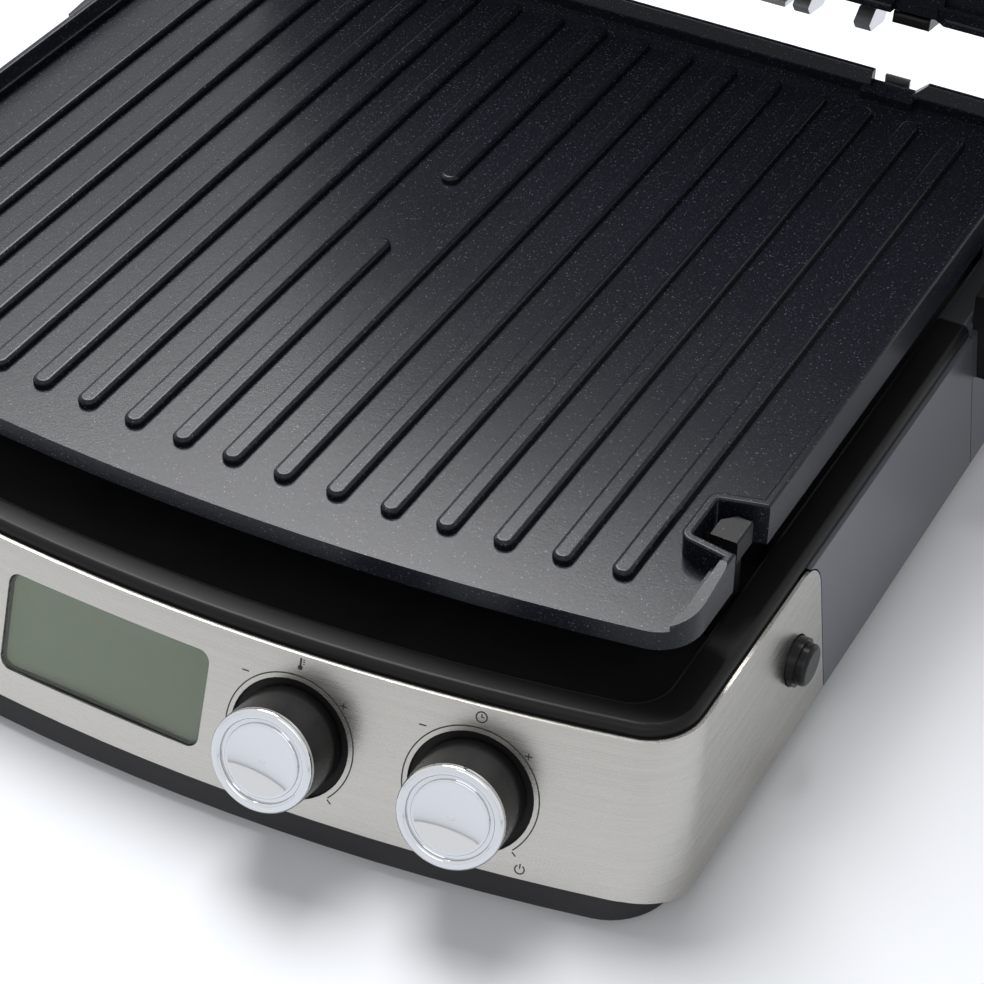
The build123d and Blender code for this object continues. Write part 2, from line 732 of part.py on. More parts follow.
def facing_down(shape):
    return Pos(0, 0, UPPER_COOK_Z) * mirror(shape, Plane.XY)


# ---- Release buttons and latches, drawn for the right-hand side ----
def clear_corner(bar):
    """Cuts the inner rear corner of a latch bar, which stands next to the slanted end of the notch."""
    inner = bar.edges().filter_by(Axis.Z).group_by(Axis.X)[0]
    return chamfer(inner.sort_by(Axis.Y)[-1], LATCH_CORNER_CUT)


def latch(button_z, facing):
    """The hook in a plate's side notch, its stem, and the foot that its button pushes."""
    cook_z = LOWER_COOK_Z if facing > 0 else UPPER_COOK_Z
    foot_end = button_z - facing * LATCH_FOOT_HALF_Z
    tip = cook_z + facing * LATCH_TOP
    head_end = tip - facing * LATCH_HEAD_H
    front, rear = -LATCH_FRONT, -LATCH_REAR
    stem = clear_corner(box(LATCH_X0, LATCH_X1, front, rear, min(foot_end, tip), max(foot_end, tip)))
    head = clear_corner(box(LATCH_X0, LATCH_HEAD_X1, front, rear, min(head_end, tip), max(head_end, tip)))
    head = chamfer(head.edges().filter_by(Axis.Y).group_by(Axis.Z)[-1 if facing > 0 else 0], LATCH_HEAD_BEVEL)
    foot_z = sorted((foot_end, button_z + facing * LATCH_FOOT_HALF_Z))
    foot = box(LATCH_X0, LATCH_X1, front, -LATCH_FOOT_REAR, *foot_z)
    return stem + head + foot


def release_button(face_x, proud, z):
    """A stepped round button standing out of a side wall, on a rod that reaches the latch's foot."""
    head = rod_x(BUTTON_R, face_x - BUTTON_STEP, face_x + BUTTON_STEP, BUTTON_Y, z)
    cap = rod_x(BUTTON_CAP_R, face_x, face_x + proud, BUTTON_Y, z)
    cap = fillet(cap.edges().group_by(Axis.X)[-1], 1.4)
    return head + cap + rod_x(BUTTON_ROD_R, LATCH_X1, face_x, BUTTON_Y, z)


def button_hole(z):
    return rod_x(BUTTON_R + BUTTON_GAP, LATCH_X1, POST_X1, BUTTON_Y, z)


def spring_post(z0, z1):
    """The rib that a latch spring pushes against."""
    y0, y1 = BUTTON_Y - SPRING_POST_HALF_Y, BUTTON_Y + SPRING_POST_HALF_Y
    return box(SPRING_POST_X0, SPRING_POST_X1, y0, y1, z0, z1)


def latch_spring(z):
    """A coil between its rib and the latch, at the length that it has with the button pushed in."""
    x0, x1 = SPRING_POST_X1, LATCH_X0 - BUTTON_TRAVEL - SEAT_GAP
    pitch = (x1 - x0 - 2 * SPRING_WIRE_R) / SPRING_TURNS
    path = Helix(pitch, pitch * SPRING_TURNS, SPRING_R)
    section = Plane(origin=path @ 0, z_dir=path % 0) * Circle(SPRING_WIRE_R)
    return Pos(x0 + SPRING_WIRE_R, BUTTON_Y, z) * Rot(0, 90, 0) * sweep(section, path=path)


# ---- Base housing ----
def band_region(grow):
    """The steel band seen from the side, as (y, z), grown by a gap."""
    end, top, low = -BAND_END_Y + grow, BAND_TOP_Z + grow, PANEL_BOTTOM_Z - 1
    far = -BODY_FRONT - BAND_TOP_Z
    step = -BODY_FRONT + BAND_STEP_FRONT_INSET
    step_end = step + BAND_STEP_L
    bottom = [(far, BAND_BOTTOM_Z), (step, BAND_BOTTOM_Z), (step_end, low), (end, low)]
    block = side_profile([*bottom, (end, top), (far, top)], -POST_X1 - 10, POST_X1 + 10)
    corner = block.edges().filter_by(Axis.X).sort_by(lambda e: -e.center().Z - e.center().Y)
    return fillet(corner[0], BAND_END_R + grow)


def display_cut(grow):
    window = RectangleRounded(DISPLAY_W + 2 * grow, DISPLAY_H + 2 * grow, DISPLAY_R + grow)
    return fascia_plane(0, DISPLAY_ALONG) * extrude(window, 3 * WALL_T, both=True)


def knob_cut(x, radius):
    return fascia_plane(x, KNOB_ALONG) * Cylinder(radius, 4 * WALL_T)


def fascia_cuts(knob_hole_r):
    """The cuts for the display, the knobs and the release buttons."""
    cuts = [display_cut(DISPLAY_GAP)]
    cuts += [knob_cut(x, knob_hole_r) for x in KNOB_X]
    cuts += both_sides(button_hole(BUTTON_Z)).solids()
    return cuts


def cut_all(shape, cuts):
    for cut in cuts:
        shape -= cut
    return shape


def front_band():
    band = body_skin(PANEL_BOTTOM_Z, BAND_TOP_Z, 0, BAND_T) & band_region(0)
    return cut_all(band, fascia_cuts(KNOB_R + KNOB_RING))


def right_panel():
    panel = body_skin(PANEL_BOTTOM_Z, BAND_TOP_Z - SKIN_GAP, 0, PANEL_T)
    panel &= box(0, POST_X1, -BAND_END_Y - 2 * BAND_END_R, SEAM_Y - SEAM_GAP / 2, 0, DECK_TOP_Z)
    return panel - band_region(SEAM_GAP)


def well_outline(grow):
    return outline(WELL_HALF_W + grow, WELL_FRONT + grow, WELL_REAR + grow, BOW_K, WELL_R, WELL_R)


def deck_ring():
    """The black top edge and the lip under it, all the way round the well."""
    top_outline = at_height(body_outline(BAND_TOP_Z, DECK_EDGE_INSET), LIP_TOP_Z - BAND_TOP_Z)
    deck = extrude(top_outline, DECK_TOP_Z - LIP_TOP_Z)
    deck = fillet(deck.edges().group_by(Axis.Z)[-1], DECK_EDGE_R)
    lip_outline = body_outline(BAND_TOP_Z, PANEL_T + BAND_T + SKIN_GAP)
    lip = extrude(at_height(lip_outline, LIP_TOP_Z - LIP_H - BAND_TOP_Z), LIP_H)
    ring = deck + lip - prism(well_outline(0), 0, DECK_TOP_Z + 1)
    inner = ring.faces().sort_by(Axis.Z)[-1].inner_wires()[0].edges()
    return fillet(inner, DECK_EDGE_R * 0.8)


def upper_bezel():
    inset = BAND_T + SKIN_GAP
    wall = body_skin(BAND_BOTTOM_Z, LIP_TOP_Z, inset, WALL_T)
    wall &= box(-POST_X1, POST_X1, -BODY_FRONT - BAND_TOP_Z, -BAND_END_Y - 2, 0, DECK_TOP_Z)
    corner_z = BAND_TOP_Z - BAND_END_R - 2
    wall -= box(-POST_X1, POST_X1, -BAND_END_Y - BAND_END_R - 2, -BAND_END_Y, corner_z, DECK_TOP_Z)
    wall = cut_all(wall, fascia_cuts(BUSH_R + BUSH_HOLE_GAP))
    front = box(-POST_X1, POST_X1, -BODY_FRONT - 10, SEAM_Y - SEAM_GAP / 2, 0, DECK_TOP_Z + 1)
    return wall + (deck_ring() & front)


def bracket_profile(grow=0.0):
    points = [
        (POST_FRONT_Y - grow, POST_BOTTOM_Z - grow),
        (POST_FRONT_Y - grow, POST_FRONT_Z + grow),
        (POST_SHOULDER_Y, POST_SHOULDER_Z + grow),
        (HINGE_Y - POST_NECK, HINGE_Z),
        (HINGE_Y + POST_NECK, HINGE_Z),
        (POST_REAR_Y + grow, POST_BOTTOM_Z - grow),
    ]
    return side_profile(points, POST_X0 - grow, POST_X1)


def right_hinge_bracket():
    bracket = bracket_profile()
    outer = bracket.edges().filter_by(GeomType.LINE).group_by(Axis.X)[-1]
    bracket = fillet(outer, POST_EDGE_R)
    bracket += rod_x(POST_R, POST_X0, POST_X1, HINGE_Y, HINGE_Z)
    bracket -= rod_x(SWING_R, CLEVIS_X0, CLEVIS_X1, HINGE_Y, HINGE_Z)
    return bracket - rod_x(PIN_R + FIT, POST_X0 + PIN_INSET, POST_X1 - PIN_INSET, HINGE_Y, HINGE_Z)


def rear_cover():
    rear = box(-POST_X1, POST_X1, SEAM_Y + SEAM_GAP / 2, BODY_REAR + 20, 0, DECK_TOP_Z + 1)
    cover = body_skin(PANEL_BOTTOM_Z, LIP_TOP_Z, 0, COVER_T) & rear
    cover += deck_ring() & rear
    slot_half = GREASE_HALF_W + GREASE_SLOT_GAP
    slot_z = (GREASE_Z - GREASE_SLOT_GAP, GREASE_Z + GREASE_H + GREASE_SLOT_GAP)
    cover -= box(-slot_half, slot_half, WELL_REAR + 10, BODY_REAR + 10, *slot_z)
    for number in range(VENT_COUNT):
        x = (number - (VENT_COUNT - 1) / 2) * VENT_PITCH
        cover -= box(x - VENT_W / 2, x + VENT_W / 2, WELL_REAR + 16, BODY_REAR + 10, VENT_Z0, VENT_Z1)
    cord = Pos(CORD_HOLE_X, BODY_REAR, CORD_HOLE_Z) * Rot(90, 0, 0) * Cylinder(CORD_HOLE_R, 20)
    return cut_all(cover - cord, both_sides(bracket_profile(POST_GAP)).solids())


def tray_outline(z, inset):
    drop = BAND_TOP_Z - z
    return at_height(
        outline(
            BODY_HALF_W + drop * tan(radians(SIDE_LEAN)) - TRAY_SIDE_INSET - inset,
            BODY_FRONT + drop * TAN_LEAN - TRAY_GAP - inset / COS_LEAN,
            BODY_REAR + drop * tan(radians(REAR_LEAN)) - TRAY_REAR_INSET - inset,
            BOW_K,
            FRONT_CORNER_R + drop * CORNER_FLARE - inset,
            REAR_CORNER_R - inset,
        ),
        z,
    )


def foot_places():
    return [(x, y) for x in (-FOOT_X, FOOT_X) for y in (FOOT_FRONT_Y, FOOT_REAR_Y)]


def screw_places():
    return [(x, y) for x in (-SCREW_X, SCREW_X) for y in (SCREW_FRONT_Y, SCREW_REAR_Y)]


def bottom_tray():
    floor_z = TRAY_FLOOR_Z
    top_z = BAND_BOTTOM_Z - TRAY_GAP
    tray = loft([tray_outline(TRAY_UNDERSIDE_Z, 0), tray_outline(top_z, 0)], ruled=True)
    tray -= loft([tray_outline(floor_z, TRAY_WALL_T), tray_outline(top_z + 1, TRAY_WALL_T)], ruled=True)
    for x in (-RAIL_X, RAIL_X):
        rail = box(x - RAIL_W / 2, x + RAIL_W / 2, -GREASE_FRONT, GREASE_FRONT, floor_z, GREASE_Z - SEAT_GAP)
        tray += rail
    guide_x = GREASE_HALF_W + GUIDE_GAP
    for x0 in (-guide_x - GUIDE_T, guide_x):
        tray += box(x0, x0 + GUIDE_T, -GREASE_FRONT, GREASE_FRONT, floor_z, floor_z + GUIDE_H)
    ribs = spring_post(floor_z, BUTTON_Z + SPRING_R + SPRING_POST_PAST)
    tray += both_sides(ribs)
    for x in (POWER_X0 + POWER_POST_INSET, POWER_X1 - POWER_POST_INSET):
        for y in (POWER_Y0 + POWER_POST_INSET, POWER_Y1 - POWER_POST_INSET):
            tray += rod_z(SCREW_HEAD_R, x, y, floor_z, POWER_Z - SEAT_GAP)
    for x, y in foot_places():
        tray -= rod_z(FOOT_STEM_R + FIT, x, y, 0, TRAY_FLOOR_Z + 1)
    for x, y in screw_places():
        tray -= rod_z(SCREW_R + SCREW_FIT, x, y, 0, TRAY_FLOOR_Z + 1)
        tray -= rod_z(SCREW_HEAD_R + SCREW_FIT, x, y, 0, TRAY_UNDERSIDE_Z + SCREW_HEAD_H / 2)
    return tray


def rubber_feet():
    feet = []
    for x, y in foot_places():
        pad = rod_z(FOOT_R, x, y, 0, TRAY_UNDERSIDE_Z - FIT)
        feet.append(pad + rod_z(FOOT_STEM_R, x, y, 0, FOOT_STEM_H))
    return Compound([solid for foot in feet for solid in foot.solids()])


def screw(x, y, head_z, length):
    """A pan-head screw that points up; head_z is the face of its head."""
    under = head_z + SCREW_HEAD_H
    return rod_z(SCREW_HEAD_R, x, y, head_z, under) + rod_z(SCREW_R, x, y, head_z, under + length)


def base_screws():
    head_z = TRAY_UNDERSIDE_Z - SCREW_HEAD_H / 2 - FIT
    return Compound([screw(x, y, head_z, SCREW_L).solid() for x, y in screw_places()])


def base_tub():
    floor_top = WELL_FLOOR_Z + TUB_T
    tub = prism(well_outline(TUB_OVERLAP), WELL_FLOOR_Z, WELL_FLOOR_Z + TUB_WALL_H)
    tub -= prism(well_outline(TUB_OVERLAP - TUB_T), floor_top, WELL_FLOOR_Z + TUB_WALL_H + 1)
    for x in (-REST_X, REST_X):
        for y in (REST_FRONT_Y, REST_REAR_Y):
            tub += rod_z(REST_R, x, y, floor_top, LOWER_COOK_Z - PLATE_T - SEAT_GAP)
    for x in (-PAN_REST_X, PAN_REST_X):
        for y in (-PAN_REST_Y, PAN_REST_Y):
            tub += rod_z(REST_R, x, y, floor_top, LOWER_COOK_Z - PAN_FLOOR_DEPTH - SEAT_GAP)
    for x, y in screw_places():
        tub += rod_z(SCREW_POST_R, x, y, TRAY_FLOOR_Z + SEAT_GAP, WELL_FLOOR_Z)
        tub -= rod_z(SCREW_R + FIT, x, y, 0, TRAY_UNDERSIDE_Z + SCREW_HEAD_H + SCREW_L)
    tub += rod_z(DRAIN_R + DRAIN_WALL, 0, DRAIN_Y, WELL_FLOOR_Z - DRAIN_DROP, WELL_FLOOR_Z)
    tub -= rod_z(DRAIN_R, 0, DRAIN_Y, 0, floor_top + 1)
    slot = box(
        LATCH_X0 - BUTTON_TRAVEL - LATCH_CLEAR,
        LATCH_X1 + LATCH_CLEAR,
        -LATCH_FRONT - LATCH_CLEAR,
        -LATCH_REAR + LATCH_CLEAR,
        0,
        floor_top + 1,
    )
    return tub - slot - mirror(slot, Plane.YZ)


def plate_tabs():
    """Sprung steel tabs behind the lower plate's rear notches."""
    floor_top = WELL_FLOOR_Z + TUB_T
    tab = box(TAB_X0, TAB_X1, TAB_Y, TAB_Y + TAB_T, floor_top, LOWER_COOK_Z + TAB_TOP)
    tab += box(TAB_X0, TAB_X1, TAB_Y - TAB_FOOT, TAB_Y + TAB_T, floor_top, floor_top + TAB_T)
    return both_sides(tab)


# ---- Fascia parts ----
def display_lens():
    face = RectangleRounded(DISPLAY_W, DISPLAY_H, DISPLAY_R)
    return fascia_plane(0, DISPLAY_ALONG) * Pos(0, 0, -LENS_DEPTH - LENS_T) * extrude(face, LENS_T)


def display_module():
    back = -LENS_DEPTH - LENS_T - SEAT_GAP
    face = RectangleRounded(DISPLAY_W - 2 * GLASS_INSET, DISPLAY_H - 2 * GLASS_INSET, DISPLAY_R)
    glass = Pos(0, 0, back - GLASS_T) * extrude(face, GLASS_T)
    holder = Pos(0, 0, back - GLASS_T - MODULE_T / 2)
    holder *= Box(DISPLAY_W + 4 * DISPLAY_MARGIN, DISPLAY_H + 2 * DISPLAY_MARGIN, MODULE_T)
    return fascia_plane(0, DISPLAY_ALONG) * (glass + holder)


def control_board():
    front = -LENS_DEPTH - LENS_T - GLASS_T - MODULE_T - 2 * SEAT_GAP
    low = -BOARD_SHORT
    size = (DISPLAY_W + 2 * BOARD_PAST_DISPLAY, DISPLAY_H - BOARD_SHORT)
    board = Pos(0, low, front - BOARD_T / 2) * Box(*size, BOARD_T)
    chip = Pos(CHIP_X, low, front - BOARD_T - CHIP_SIZE[2] / 2) * Box(*CHIP_SIZE)
    plug = Pos(*PLUG_AT, front - BOARD_T - PLUG_SIZE[2] / 2) * Box(*PLUG_SIZE)
    return fascia_plane(0, DISPLAY_ALONG) * (board + chip + plug)


def encoder_front():
    return -(BAND_T + SKIN_GAP + WALL_T) - SEAT_GAP


def encoder(x):
    """A panel rotary encoder: its can behind the fascia wall and its threaded bushing through it."""
    front = encoder_front()
    bush_l = BUSH_PROUD - front
    can = Pos(0, 0, front - ENCODER_T / 2) * Box(ENCODER_SIZE, ENCODER_SIZE, ENCODER_T)
    bush = Pos(0, 0, BUSH_PROUD - bush_l / 2) * Cylinder(BUSH_R, bush_l)
    bore_l = bush_l + SHAFT_L + 1
    bore = Pos(0, 0, BUSH_PROUD + 1 - bore_l / 2) * Cylinder(SHAFT_R + FIT, bore_l)
    return fascia_plane(x, KNOB_ALONG) * (can + bush - bore)


def knob_shaft(x):
    bottom = encoder_front() - SHAFT_L + SKIN_GAP
    length = KNOB_TOP - KNOB_FACE_T - bottom
    return fascia_plane(x, KNOB_ALONG) * Pos(0, 0, bottom + length / 2) * Cylinder(SHAFT_R, length)


def knob(x):
    """The black knob, hollow below and sunk in its hole, with its hub on the shaft."""
    inner_top = KNOB_TOP - KNOB_FACE_T
    body = Pos(0, 0, -KNOB_SUNK) * extrude(Circle(KNOB_R), KNOB_TOP + KNOB_SUNK, taper=KNOB_TAPER)
    cavity = Circle(KNOB_R - KNOB_WALL_T)
    deep = Pos(0, 0, -KNOB_SUNK - 1) * extrude(cavity, HUB_START + KNOB_SUNK + 1)
    round_hub = Pos(0, 0, HUB_START) * extrude(cavity - Circle(SHAFT_R + HUB_T), inner_top - HUB_START)
    bore = Pos(0, 0, inner_top / 2) * Cylinder(SHAFT_R, inner_top)
    return fascia_plane(x, KNOB_ALONG) * (body - deep - round_hub - bore)


def knob_cap(x):
    """The chromed face: a round bead, a groove, a low ring and a dished middle."""
    groove_r = CAP_R - CAP_BEAD_W
    ring_r = groove_r - CAP_GROOVE_W
    dish_r = ring_r - CAP_RING_W
    groove_z, ring_z, top = KNOB_TOP + CAP_GROOVE_H, KNOB_TOP + CAP_RING_H, KNOB_TOP + CAP_T
    bead = rod_z(CAP_R, 0, 0, KNOB_TOP, top) - rod_z(groove_r, 0, 0, groove_z, top + 1)
    bead = fillet(bead.edges().group_by(Axis.Z)[-1], CAP_BEAD_R)
    ring = rod_z(ring_r, 0, 0, KNOB_TOP, ring_z)
    ring = fillet(ring.edges().group_by(Axis.Z)[-1], CAP_RING_R)
    ball_r = (dish_r**2 + CAP_DISH_H**2) / (2 * CAP_DISH_H)
    cap = bead + ring - Pos(0, 0, ring_z + ball_r - CAP_DISH_H) * Sphere(ball_r)
    return fascia_plane(x, KNOB_ALONG) * cap


# ---- Electronics and grease tray ----
def power_board():
    """The power board with its heat sink and a row of terminals."""
    board = box(POWER_X0, POWER_X1, POWER_Y0, POWER_Y1, POWER_Z, POWER_Z + BOARD_T)
    board += on_board(HEAT_SINK_SIZE, HEAT_SINK_AT, 0)
    return board + on_board(TERMINAL_ROW_SIZE, TERMINAL_ROW_AT, 0)


def on_board(size, place, gap=SEAT_GAP):
    """A block whose middle is at the given place from the board's corner."""
    x, y = place
    z = POWER_Z + BOARD_T + gap
    return Pos(POWER_X0 + x, POWER_Y0 + y, z + size[2] / 2) * Box(*size)


def grease_tray():
    top = GREASE_Z + GREASE_H
    tray = box(-GREASE_HALF_W, GREASE_HALF_W, -GREASE_FRONT, GREASE_REAR, GREASE_Z, top)
    tray = fillet(tray.edges().filter_by(Axis.Z), GREASE_CORNER_R)
    tray -= box(
        -GREASE_HALF_W + GREASE_T,
        GREASE_HALF_W - GREASE_T,
        -GREASE_FRONT + GREASE_T,
        GREASE_REAR - GREASE_T,
        GREASE_Z + GREASE_T,
        top + 1,
    )
    lip_y = BODY_REAR + (BAND_TOP_Z - GREASE_Z) * tan(radians(REAR_LEAN)) + GREASE_LIP_GAP
    lip_z = (GREASE_Z - GREASE_LIP_BELOW, top + GREASE_LIP_ABOVE)
    lip = box(-GREASE_LIP_HALF_W, GREASE_LIP_HALF_W, lip_y, lip_y + GREASE_LIP_T, *lip_z)
    neck_half = GREASE_HALF_W - GREASE_CORNER_R
    return tray + lip + box(-neck_half, neck_half, GREASE_REAR - 1, lip_y, GREASE_Z, top)


# ---- Lid frame (drawn closed) ----
def link(start, end, radius, x0, x1):
    """A flat bar with round ends between two (y, z) points."""
    (y0, z0), (y1, z1) = start, end
    length = ((y1 - y0) ** 2 + (z1 - z0) ** 2) ** 0.5
    angle = Vector(y1 - y0, z1 - z0).get_signed_angle(Vector(1, 0), Vector(0, 0, -1))
    plane = Plane(origin=(x0, (y0 + y1) / 2, (z0 + z1) / 2), x_dir=(0, 1, 0), z_dir=(1, 0, 0))
    return extrude(plane * Rot(0, 0, angle) * SlotCenterToCenter(length, 2 * radius), x1 - x0)


def right_arm():
    root_x1 = CLEVIS_X1 - CHEEK_GAP
    arm = link((HANDLE_Y, ARM_Z), (ARM_ROOT_Y, ARM_Z), ARM_R, ARM_X0, ARM_X1)
    arm += link((ARM_ROOT_Y, ARM_Z), (HINGE_Y, HINGE_Z), ARM_R, ARM_X0, root_x1)
    arm -= rod_x(PIN_R, ARM_X0 - 1, ARM_X1, HINGE_Y, HINGE_Z)
    arm -= rod_x(HANDLE_SCREW_R + HANDLE_SCREW_FIT, ARM_X0 - 1, ARM_X1 + 1, HANDLE_Y, ARM_Z)
    for y in FLOAT_PIN_Y:
        low, high = (y, ARM_Z - FLOAT / 2), (y, ARM_Z + FLOAT / 2)
        arm -= link(low, high, FLOAT_PIN_R + FIT, ARM_X0 - 1, ARM_X1 + 1)
    return arm


def hinge_pins():
    inset = PIN_INSET + PIN_END_GAP
    return both_sides(rod_x(PIN_R, POST_X0 + inset, POST_X1 - inset, HINGE_Y, HINGE_Z))


def handle_bar():
    end = ARM_X0 - SEAT_GAP - GRIP_L
    bar = rod_x(HANDLE_R, -end, end, HANDLE_Y, ARM_Z)
    bore = rod_x(HANDLE_SCREW_R, end - HANDLE_SCREW_L, end + 1, HANDLE_Y, ARM_Z)
    return cut_all(bar, both_sides(bore).solids())


def handle_collars():
    end = ARM_X0 - SEAT_GAP
    collar = rod_x(GRIP_R, end - GRIP_L, end, HANDLE_Y, ARM_Z)
    collar = fillet(collar.edges().group_by(Axis.X)[0], GRIP_EDGE_R)
    collar -= rod_x(HANDLE_SCREW_R + HANDLE_SCREW_FIT, end - GRIP_L - 1, end + 1, HANDLE_Y, ARM_Z)
    return both_sides(collar)


def handle_screws():
    head = rod_x(HANDLE_SCREW_HEAD_R, ARM_X1, ARM_X1 + HANDLE_SCREW_HEAD_H, HANDLE_Y, ARM_Z)
    end = ARM_X0 - GRIP_L - HANDLE_SCREW_L + HANDLE_SCREW_SPARE
    return both_sides(head + rod_x(HANDLE_SCREW_R, end, ARM_X1, HANDLE_Y, ARM_Z))


# ---- Lid (drawn closed) ----
def lid_opening():
    return outline(
        LID_HALF_W - LID_OPENING_SIDE,
        LID_FRONT - LID_OPENING_FRONT_W,
        LID_REAR - LID_OPENING_REAR_W,
        BOW_K,
        WELL_R,
        WELL_R,
    )


def lid_outline(inset):
    return outline(
        LID_HALF_W - inset,
        LID_FRONT - inset,
        LID_REAR - inset,
        BOW_K,
        LID_CORNER_R - inset,
        LID_CORNER_R - inset,
    )


def float_pin_z():
    return ARM_Z - FLOAT / 2


def lid_screw_places():
    return [(x, y) for x in (-LID_SCREW_X, LID_SCREW_X) for y in (-LID_SCREW_Y, LID_SCREW_Y)]


def lid_bezel():
    ceiling = LID_Z1 - LID_WALL_T
    bezel = prism(lid_outline(0), LID_Z0, LID_Z1)
    bump_root = LID_REAR - LID_BUMP_ROOT
    bezel += box(-LID_BUMP_HALF_W, LID_BUMP_HALF_W, bump_root, LID_BUMP_REAR, LID_Z0, LID_Z1)
    bezel = fillet(bezel.edges().group_by(Axis.Z)[0], LID_EDGE_R)
    bezel -= prism(lid_outline(LID_WALL_T), LID_Z0 + LID_FLANGE_T, ceiling)
    bezel -= prism(lid_opening(), LID_Z0 - 1, LID_Z0 + LID_FLANGE_T + 1)
    for x in (-REST_X, REST_X):
        for y in (REST_FRONT_Y, REST_REAR_Y):
            bezel += rod_z(REST_R, x, y, UPPER_COOK_Z + PLATE_T + SEAT_GAP, ceiling)
    for x in (-PAN_REST_X, PAN_REST_X):
        for y in (-PAN_REST_Y, PAN_REST_Y):
            bezel += rod_z(REST_R, x, y, UPPER_COOK_Z + PAN_FLOOR_DEPTH + SEAT_GAP, ceiling)
    bezel += both_sides(spring_post(LID_BUTTON_Z - SPRING_R - SPRING_POST_PAST, ceiling))
    for y in FLOAT_PIN_Y:
        inner_x = LID_HALF_W - LID_WALL_T - FLOAT_BOSS_L
        boss = rod_x(FLOAT_BOSS_R, inner_x, LID_HALF_W - 1, y, float_pin_z())
        bezel += both_sides(boss)
        bore = rod_x(FLOAT_PIN_R, inner_x - 1, ARM_X1, y, float_pin_z())
        bezel = cut_all(bezel, both_sides(bore).solids())
    for x, y in lid_screw_places():
        bezel -= rod_z(SCREW_R + SCREW_FIT, x, y, ceiling - 1, LID_Z1 + 1)
    return cut_all(bezel, both_sides(button_hole(LID_BUTTON_Z)).solids())


def shell_block(inset, z0, z1, radius):
    block = loft(
        [at_height(lid_outline(inset), z0), at_height(lid_outline(inset + LID_SHELL_TAPER), z1)], ruled=True
    )
    return fillet(block.edges().group_by(Axis.Z)[-1], radius)


def lid_shell():
    z0, z1 = LID_Z1 + SKIN_GAP, LID_Z1 + LID_SHELL_H
    shell = shell_block(0, z0, z1, LID_SHELL_R)
    shell -= shell_block(LID_SHELL_T, z0, z1 - LID_SHELL_T, LID_SHELL_R - LID_SHELL_T)
    for x, y in lid_screw_places():
        shell += rod_z(SCREW_POST_R, x, y, z0, z1 - LID_SHELL_T / 2)
        shell -= rod_z(SCREW_R + FIT, x, y, z0 - 1, z0 + SCREW_L)
    return shell


def lid_screws():
    head_z = LID_Z1 - LID_WALL_T - SCREW_HEAD_H
    return Compound([screw(x, y, head_z, SCREW_L - 1).solid() for x, y in lid_screw_places()])


def float_pins():
    pins = []
    for y in FLOAT_PIN_Y:
        inner_x = LID_HALF_W - LID_WALL_T - FLOAT_BOSS_L
        head_x = ARM_X1 + FLOAT_HEAD_GAP
        pin = rod_x(FLOAT_PIN_R, inner_x, ARM_X1 + FLOAT_PIN_PAST, y, float_pin_z())
        pin += rod_x(FLOAT_HEAD_R, head_x, head_x + FLOAT_HEAD_T, y, float_pin_z())
        pins += both_sides(pin).solids()
    return Compound(pins)


def lid_rear_bracket():
    """The pressed steel strip across the back of the lid."""
    top = LID_Z1 - STRIP_TOP_GAP
    shelf_z = LID_Z0 + STRIP_SHELF_UP
    strip = box(-STRIP_HALF_W, STRIP_HALF_W, STRIP_REAR - STRIP_T, STRIP_REAR, LID_Z0 - STRIP_DROP, top)
    shelf = box(-STRIP_HALF_W, STRIP_HALF_W, LID_BUMP_REAR, STRIP_REAR, shelf_z, shelf_z + STRIP_T)
    return strip + shelf


def lid_tongues():
    """Ribs that guide the plate onto the back of the lid."""
    tongues = []
    for x in TONGUE_X:
        x0, x1 = x - TONGUE_HALF_W, x + TONGUE_HALF_W
        points = [
            (LID_BUMP_REAR, LID_Z0 - TONGUE_ROOT_DROP),
            (TONGUE_REAR - TONGUE_NOSE, LID_Z0 - TONGUE_DROP),
            (TONGUE_REAR, LID_Z0 - TONGUE_DROP + TONGUE_NOSE),
            (TONGUE_REAR, LID_Z0 + TONGUE_REAR_H),
            (LID_BUMP_REAR, LID_Z0 + TONGUE_ROOT_H),
        ]
        tongues += both_sides(side_profile(points, x0, x1)).solids()
    return Compound(tongues)


def lid_hooks():
    """Hooks behind the upper plate's rear notches."""
    front = PLATE_REAR + HOOK_GAP
    hook = box(HOOK_X0, HOOK_X1, front, HOOK_REAR, LID_Z0 - HOOK_DROP, LID_Z0 + HOOK_ROOT_H)
    hook = fillet(hook.edges().group_by(Axis.Z)[0], HOOK_EDGE_R)
    hook += box(HOOK_X0, HOOK_X1, LID_REAR, front, LID_Z0, LID_Z0 + HOOK_ROOT_H)
    return both_sides(hook)


# ---- Writing the nodes ----
def opened(shape):
    """Turn a lid piece from closed to wide open about the hinge pins."""
    hinge = Axis((0, HINGE_Y, HINGE_Z), (-1, 0, 0))
    return shape.rotate(hinge, OPEN_ANGLE)


def save(name, shape):
    solids = [solid.moved(Pos(0, -ORIGIN_BEHIND_PLATE_CENTRE, 0)) for solid in shape.solids()]
    whole = solids[0] if len(solids) == 1 else Compound(solids)
    whole.label = name
    export_step(whole, f"parts/{name}.step")


def save_pair(name, shape):
    save(f"{name}_right", shape)
    save(f"{name}_left", mirror(shape, Plane.YZ))


